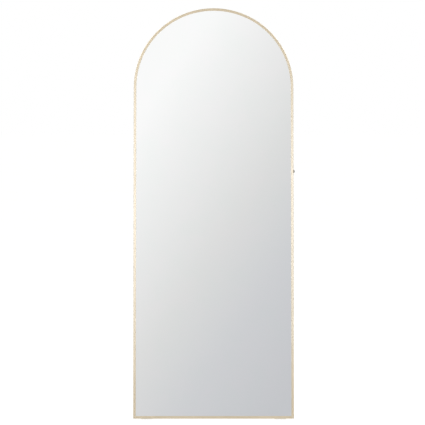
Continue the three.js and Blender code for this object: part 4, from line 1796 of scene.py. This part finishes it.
@dataclass
class RubberTrim(SubAssembly):
    """The clear pads under the bottom rail and the clear bumpers on the back of the arch."""

    pad_length: float = 50
    pad_middle: float = 290
    pad_front: float = 14
    pad_back: float = 28
    pad_gap: float = 0.1  # below the rail
    pad_edge: float = 0.35
    bumper_radius: float = 4.2
    bumper_height: float = 6.3
    bumper_base: float = 0.2
    bumper_shoulder: float = 1.6
    bumper_flat: float = 0.7  # of the crown, as a share of the radius
    bumper_steps: int = 6
    bumper_sides: int = 40
    bumper_angle: float = 60

    def pad(self) -> Skin:
        """Makes a wedge whose sole lies level on the floor.

        Returns:
            The wedge in level axes.
        """
        lean, half = math.radians(self.layout.lean), self.pad_length / 2
        wedge = []
        for depth, order in ((self.pad_front, 1), (self.pad_back, -1)):
            height = (depth * math.sin(lean) - self.layout.lift) / math.cos(lean)
            below_rail = [Vector((0, depth, place)) for place in (-self.pad_gap, height)]
            wedge += [turned_x(-self.layout.lean) @ corner for corner in below_rail[::order]]
        rings = [[Vector((x, corner.y, corner.z)) for corner in wedge] for x in (-half, half)]
        return Skin.loft(rings).bevelled(self.pad_edge)

    def bumper(self) -> Skin:
        """Makes a soft dome with a flattened crown.

        Returns:
            The dome, with its base at zero height.
        """
        radius, height = self.bumper_radius, self.bumper_height
        rise, flat = self.bumper_shoulder, self.bumper_flat
        shoulder = [(radius * (flat + (1 - flat) * math.cos(turn)), height - rise + rise * math.sin(turn))
                    for turn in quarter_turn(self.bumper_steps)]
        base = [(0, 0), (radius - self.bumper_base, 0), (radius, self.bumper_base)]
        return Skin.turned([*base, *shoulder, (0, height)], self.bumper_sides)

    def build(self) -> None:
        """Makes the pads and the bumpers."""
        layout = self.layout
        pad, bumper = self.pad().data("pad"), self.bumper().data("bumper")
        radius = layout.half_width - layout.flange_width / 2
        turn = math.radians(self.bumper_angle)
        for side in Side:
            level = layout.panel @ moved(side.value * self.pad_middle, 0, 0) @ turned_x(layout.lean)
            self.show(f"wedge_pad_{side.label}", pad, level, ClearRubber(), Body.MIRROR,
                      f"floor_pad_{side.label}")
            x, z = side.value * radius * math.cos(turn), layout.springing + radius * math.sin(turn)
            place = layout.panel @ moved(x, layout.depth, z) @ Facing.BACK.matrix
            self.show(f"domed_bumper_{side.label}", bumper, place, ClearRubber(), Body.MIRROR,
                      f"wall_bumper_{side.label}")


# -----------------------------------------------------------------------------------------------------
# Studio and camera
# -----------------------------------------------------------------------------------------------------


@dataclass(frozen=True)
class Softbox:
    """A soft rectangular lamp."""

    name: str
    place: tuple[float, float, float]
    aim: tuple[float, float, float]
    size: tuple[float, float]
    watts: float
    tone: str = "#FFFFFF"

    def hang(self) -> None:
        """Puts the lamp in the scene."""
        lamp = bpy.data.lights.new(self.name, "AREA")
        lamp.shape = "RECTANGLE"
        lamp.size, lamp.size_y = self.size
        lamp.energy = self.watts
        lamp.color = linear(self.tone)[:3]
        holder = bpy.data.objects.new(self.name, lamp)
        holder.location = self.place
        holder.rotation_mode = "QUATERNION"
        holder.rotation_quaternion = (Vector(self.aim) - Vector(self.place)).to_track_quat("-Z", "Y")
        bpy.context.scene.collection.objects.link(holder)


@dataclass
class Studio:
    """A pale floor in a white room that shades off behind the camera, and soft lamps."""

    floor_reach: float = 60.0  # metres
    floor_drop: float = 0.4  # millimetres, so that no sole lies in the floor's own plane
    floor_clouds: float = 900  # millimetres
    floor_tones: tuple[Stop, ...] = ((0.3, "#F1F0ED"), (0.7, "#F5F4F1"))
    floor_share: float = 0.42  # of the floor that the lamps light, so that the shadow stays
    floor_glow: float = 0.8
    room_light: float = 0.62  # what the room gives the object
    leftward_slope: float = 1.45  # how much faster the room brightens to the left than upwards
    cove: tuple[float, float] = (0.02, 0.13)  # the rise of a direction over which the tones take over
    ahead: tuple[float, float] = (-0.35, 0.25)  # its run away from the camera over which they turn white
    room_tones: tuple[Stop, ...] = (
        (0.11, "#C9CACE"),
        (0.15, "#D2D3D6"),
        (0.185, "#E0E0E0"),
        (0.26, "#FFFFFF"),
        (0.4, "#FFFFFF"),
        (1, "#DEDFE2"),
    )
    lamps: tuple[Softbox, ...] = (
        Softbox("key_softbox", (-2.6, -3.4, 4.4), (0, 0, 0.9), (2.6, 2.6), 105),
        Softbox("fill_softbox", (3.0, -2.6, 4.2), (0, 0, 0.9), (2.2, 2.2), 60),
        Softbox("back_softbox", (1.8, 3.6, 3.0), (0, 0, 0.9), (3.0, 2.4), 64),
        Softbox("left_strip", (-0.78, -3.0, 1.5), (0, 0, 1.1), (0.5, 1.3), 8.5, "#D6E2FF"),
        Softbox("right_strip", (0.78, -3.0, 1.5), (0, 0, 1.1), (0.5, 1.3), 8.5, "#D6E2FF"),
    )

    def seen(self, tree: Tree) -> Socket:
        """Tells the rays that show a surface from those that light one.

        Args:
            tree: The material's or the room's tree.

        Returns:
            One for rays from the camera, reflections and clear pieces, and zero for the rest.
        """
        path = add_node(tree, "ShaderNodeLightPath").outputs
        through = add_node(tree, "ShaderNodeMath", {"operation": "MAXIMUM"},
                           {0: path["Is Glossy Ray"], 1: path["Is Transmission Ray"]})
        return add_node(tree, "ShaderNodeMath", {"operation": "MAXIMUM"},
                        {0: path["Is Camera Ray"], 1: through.outputs[0]}).outputs[0]

    def lay_floor(self) -> None:
        """A level floor that looks white but keeps the object's shadow."""
        material = bpy.data.materials.new("pale studio floor")
        material.use_nodes = True
        tree = material.node_tree
        tree.nodes.clear()
        place = add_node(tree, "ShaderNodeTexCoord").outputs["Object"]
        clouds = Layer((self.floor_clouds,) * 3).value(tree, place)
        tone = add_node(tree, "ShaderNodeValToRGB", inputs={"Fac": clouds}, stops=self.floor_tones)
        plain = add_node(tree, "ShaderNodeBsdfDiffuse", inputs={"Color": tone.outputs["Color"]})
        share = add_node(tree, "ShaderNodeMixShader", inputs={0: self.floor_share, 2: plain.outputs[0]})
        glow = add_node(tree, "ShaderNodeEmission", inputs={"Strength": self.floor_glow})
        white = add_node(tree, "ShaderNodeAddShader", inputs={0: share.outputs[0], 1: glow.outputs[0]})
        either = add_node(tree, "ShaderNodeMixShader",
                          inputs={0: self.seen(tree), 1: plain.outputs[0], 2: white.outputs[0]})
        add_node(tree, "ShaderNodeOutputMaterial", inputs={"Surface": either.outputs[0]})
        reach = self.floor_reach
        corners = [(-reach, -reach, 0), (reach, -reach, 0), (reach, reach, 0), (-reach, reach, 0)]
        data = bpy.data.meshes.new("floor")
        data.from_pydata(corners, [], [(0, 1, 2, 3)])
        data.materials.append(material)
        floor = bpy.data.objects.new("floor", data)
        floor.location.z = -self.floor_drop * MM
        bpy.context.scene.collection.objects.link(floor)

    def light_room(self) -> None:
        """A white room with a white cove at the floor, and a cool grey behind the camera at the right."""
        world = bpy.data.worlds.new("white studio")
        world.use_nodes = True
        bpy.context.scene.world = world
        tree = world.node_tree
        tree.nodes.clear()
        way = add_node(tree, "ShaderNodeTexCoord").outputs["Generated"]
        axes = add_node(tree, "ShaderNodeSeparateXYZ", inputs={0: way}).outputs
        slope = add_node(tree, "ShaderNodeMath", {"operation": "MULTIPLY_ADD"},
                         {0: axes["X"], 1: -self.leftward_slope, 2: axes["Z"]})
        tone = add_node(tree, "ShaderNodeValToRGB", inputs={"Fac": slope.outputs[0]}, stops=self.room_tones)
        ahead = add_node(tree, "ShaderNodeMapRange", inputs={
            "Value": axes["Y"], "From Min": self.ahead[0], "From Max": self.ahead[1]})
        cove = add_node(tree, "ShaderNodeMapRange", inputs={
            "Value": axes["Z"], "From Min": self.cove[0], "From Max": self.cove[1],
            "To Min": 1.0, "To Max": 0.0})
        bright = add_node(tree, "ShaderNodeMath", {"operation": "MAXIMUM"},
                          {0: ahead.outputs[0], 1: cove.outputs[0]})
        path = add_node(tree, "ShaderNodeLightPath").outputs
        white = add_node(tree, "ShaderNodeMath", {"operation": "MAXIMUM"},
                         {0: bright.outputs[0], 1: path["Is Camera Ray"]})
        colour = add_node(tree, "ShaderNodeMix", {"data_type": "RGBA"},
                          {0: white.outputs[0], 6: tone.outputs["Color"], 7: (1, 1, 1, 1)})
        strength = add_node(tree, "ShaderNodeMapRange",
                            inputs={"Value": self.seen(tree), "To Min": self.room_light})
        room = add_node(tree, "ShaderNodeBackground",
                        inputs={"Color": colour.outputs[2], "Strength": strength.outputs[0]})
        add_node(tree, "ShaderNodeOutputWorld", inputs={"Surface": room.outputs[0]})

    def build(self) -> None:
        """Lays the floor, lights the room and hangs the lamps."""
        self.lay_floor()
        self.light_room()
        for lamp in self.lamps:
            lamp.hang()
            log.info("Studio: %s, %g W", lamp.name, lamp.watts)


@dataclass
class StudioCamera:
    """A camera at eye level, far back, as the photograph's even outline asks for."""

    distance: float = 14.0
    elevation: float = 2.58
    sensor: float = 36.0
    image_side: int = 425
    millimetres_per_pixel: float = 4.3735
    reach: float = 200  # metres, past the floor's far edge
    middle_pixel: Point2 = (213.58, 212.39)  # where the middle of the glass appears

    def build(self, layout: MirrorLayout) -> None:
        """Aims the camera at the middle of the glass and makes it the scene's.

        Args:
            layout: The mirror's sizes.
        """
        up_angle = math.radians(self.elevation)
        middle = layout.panel @ (Vector((0, 0, layout.height / 2)) * MM)
        backwards = Vector((0, -math.cos(up_angle), math.sin(up_angle)))
        upwards = Vector((0, math.sin(up_angle), math.cos(up_angle)))
        centre = self.image_side / 2
        right, down = self.middle_pixel[0] - centre, self.middle_pixel[1] - centre
        aim = middle + (Vector((-1, 0, 0)) * right + upwards * down) * self.millimetres_per_pixel * MM
        lens = bpy.data.cameras.new("camera")
        lens.sensor_width = self.sensor
        lens.lens = self.sensor * self.distance / (self.image_side * self.millimetres_per_pixel * MM)
        lens.clip_end = self.reach
        camera = bpy.data.objects.new("camera", lens)
        camera.location = aim + backwards * self.distance
        camera.rotation_mode = "QUATERNION"
        camera.rotation_quaternion = (-backwards).to_track_quat("-Z", "Y")
        bpy.context.scene.collection.objects.link(camera)
        bpy.context.scene.camera = camera
        log.info("StudioCamera: %.0f mm lens at %.1f m", lens.lens, self.distance)


def main() -> None:
    """Builds the sub-assemblies in order, then the studio and the camera."""
    logging.basicConfig(level=logging.INFO, format="%(message)s")
    bpy.context.scene.view_settings.view_transform = "Standard"
    assemblies: list[SubAssembly] = [
        ChannelFrame(),
        GlassPackage(),
        CrossBrace(),
        StandHinge(side=Side.LEFT),
        StandHinge(side=Side.RIGHT),
        FoldingStand(),
        RubberTrim(),
    ]
    for assembly in assemblies:
        assembly.build()
        assembly.report()
    Studio().build()
    StudioCamera().build(LAYOUT)


if __name__ == "__main__":
    main()
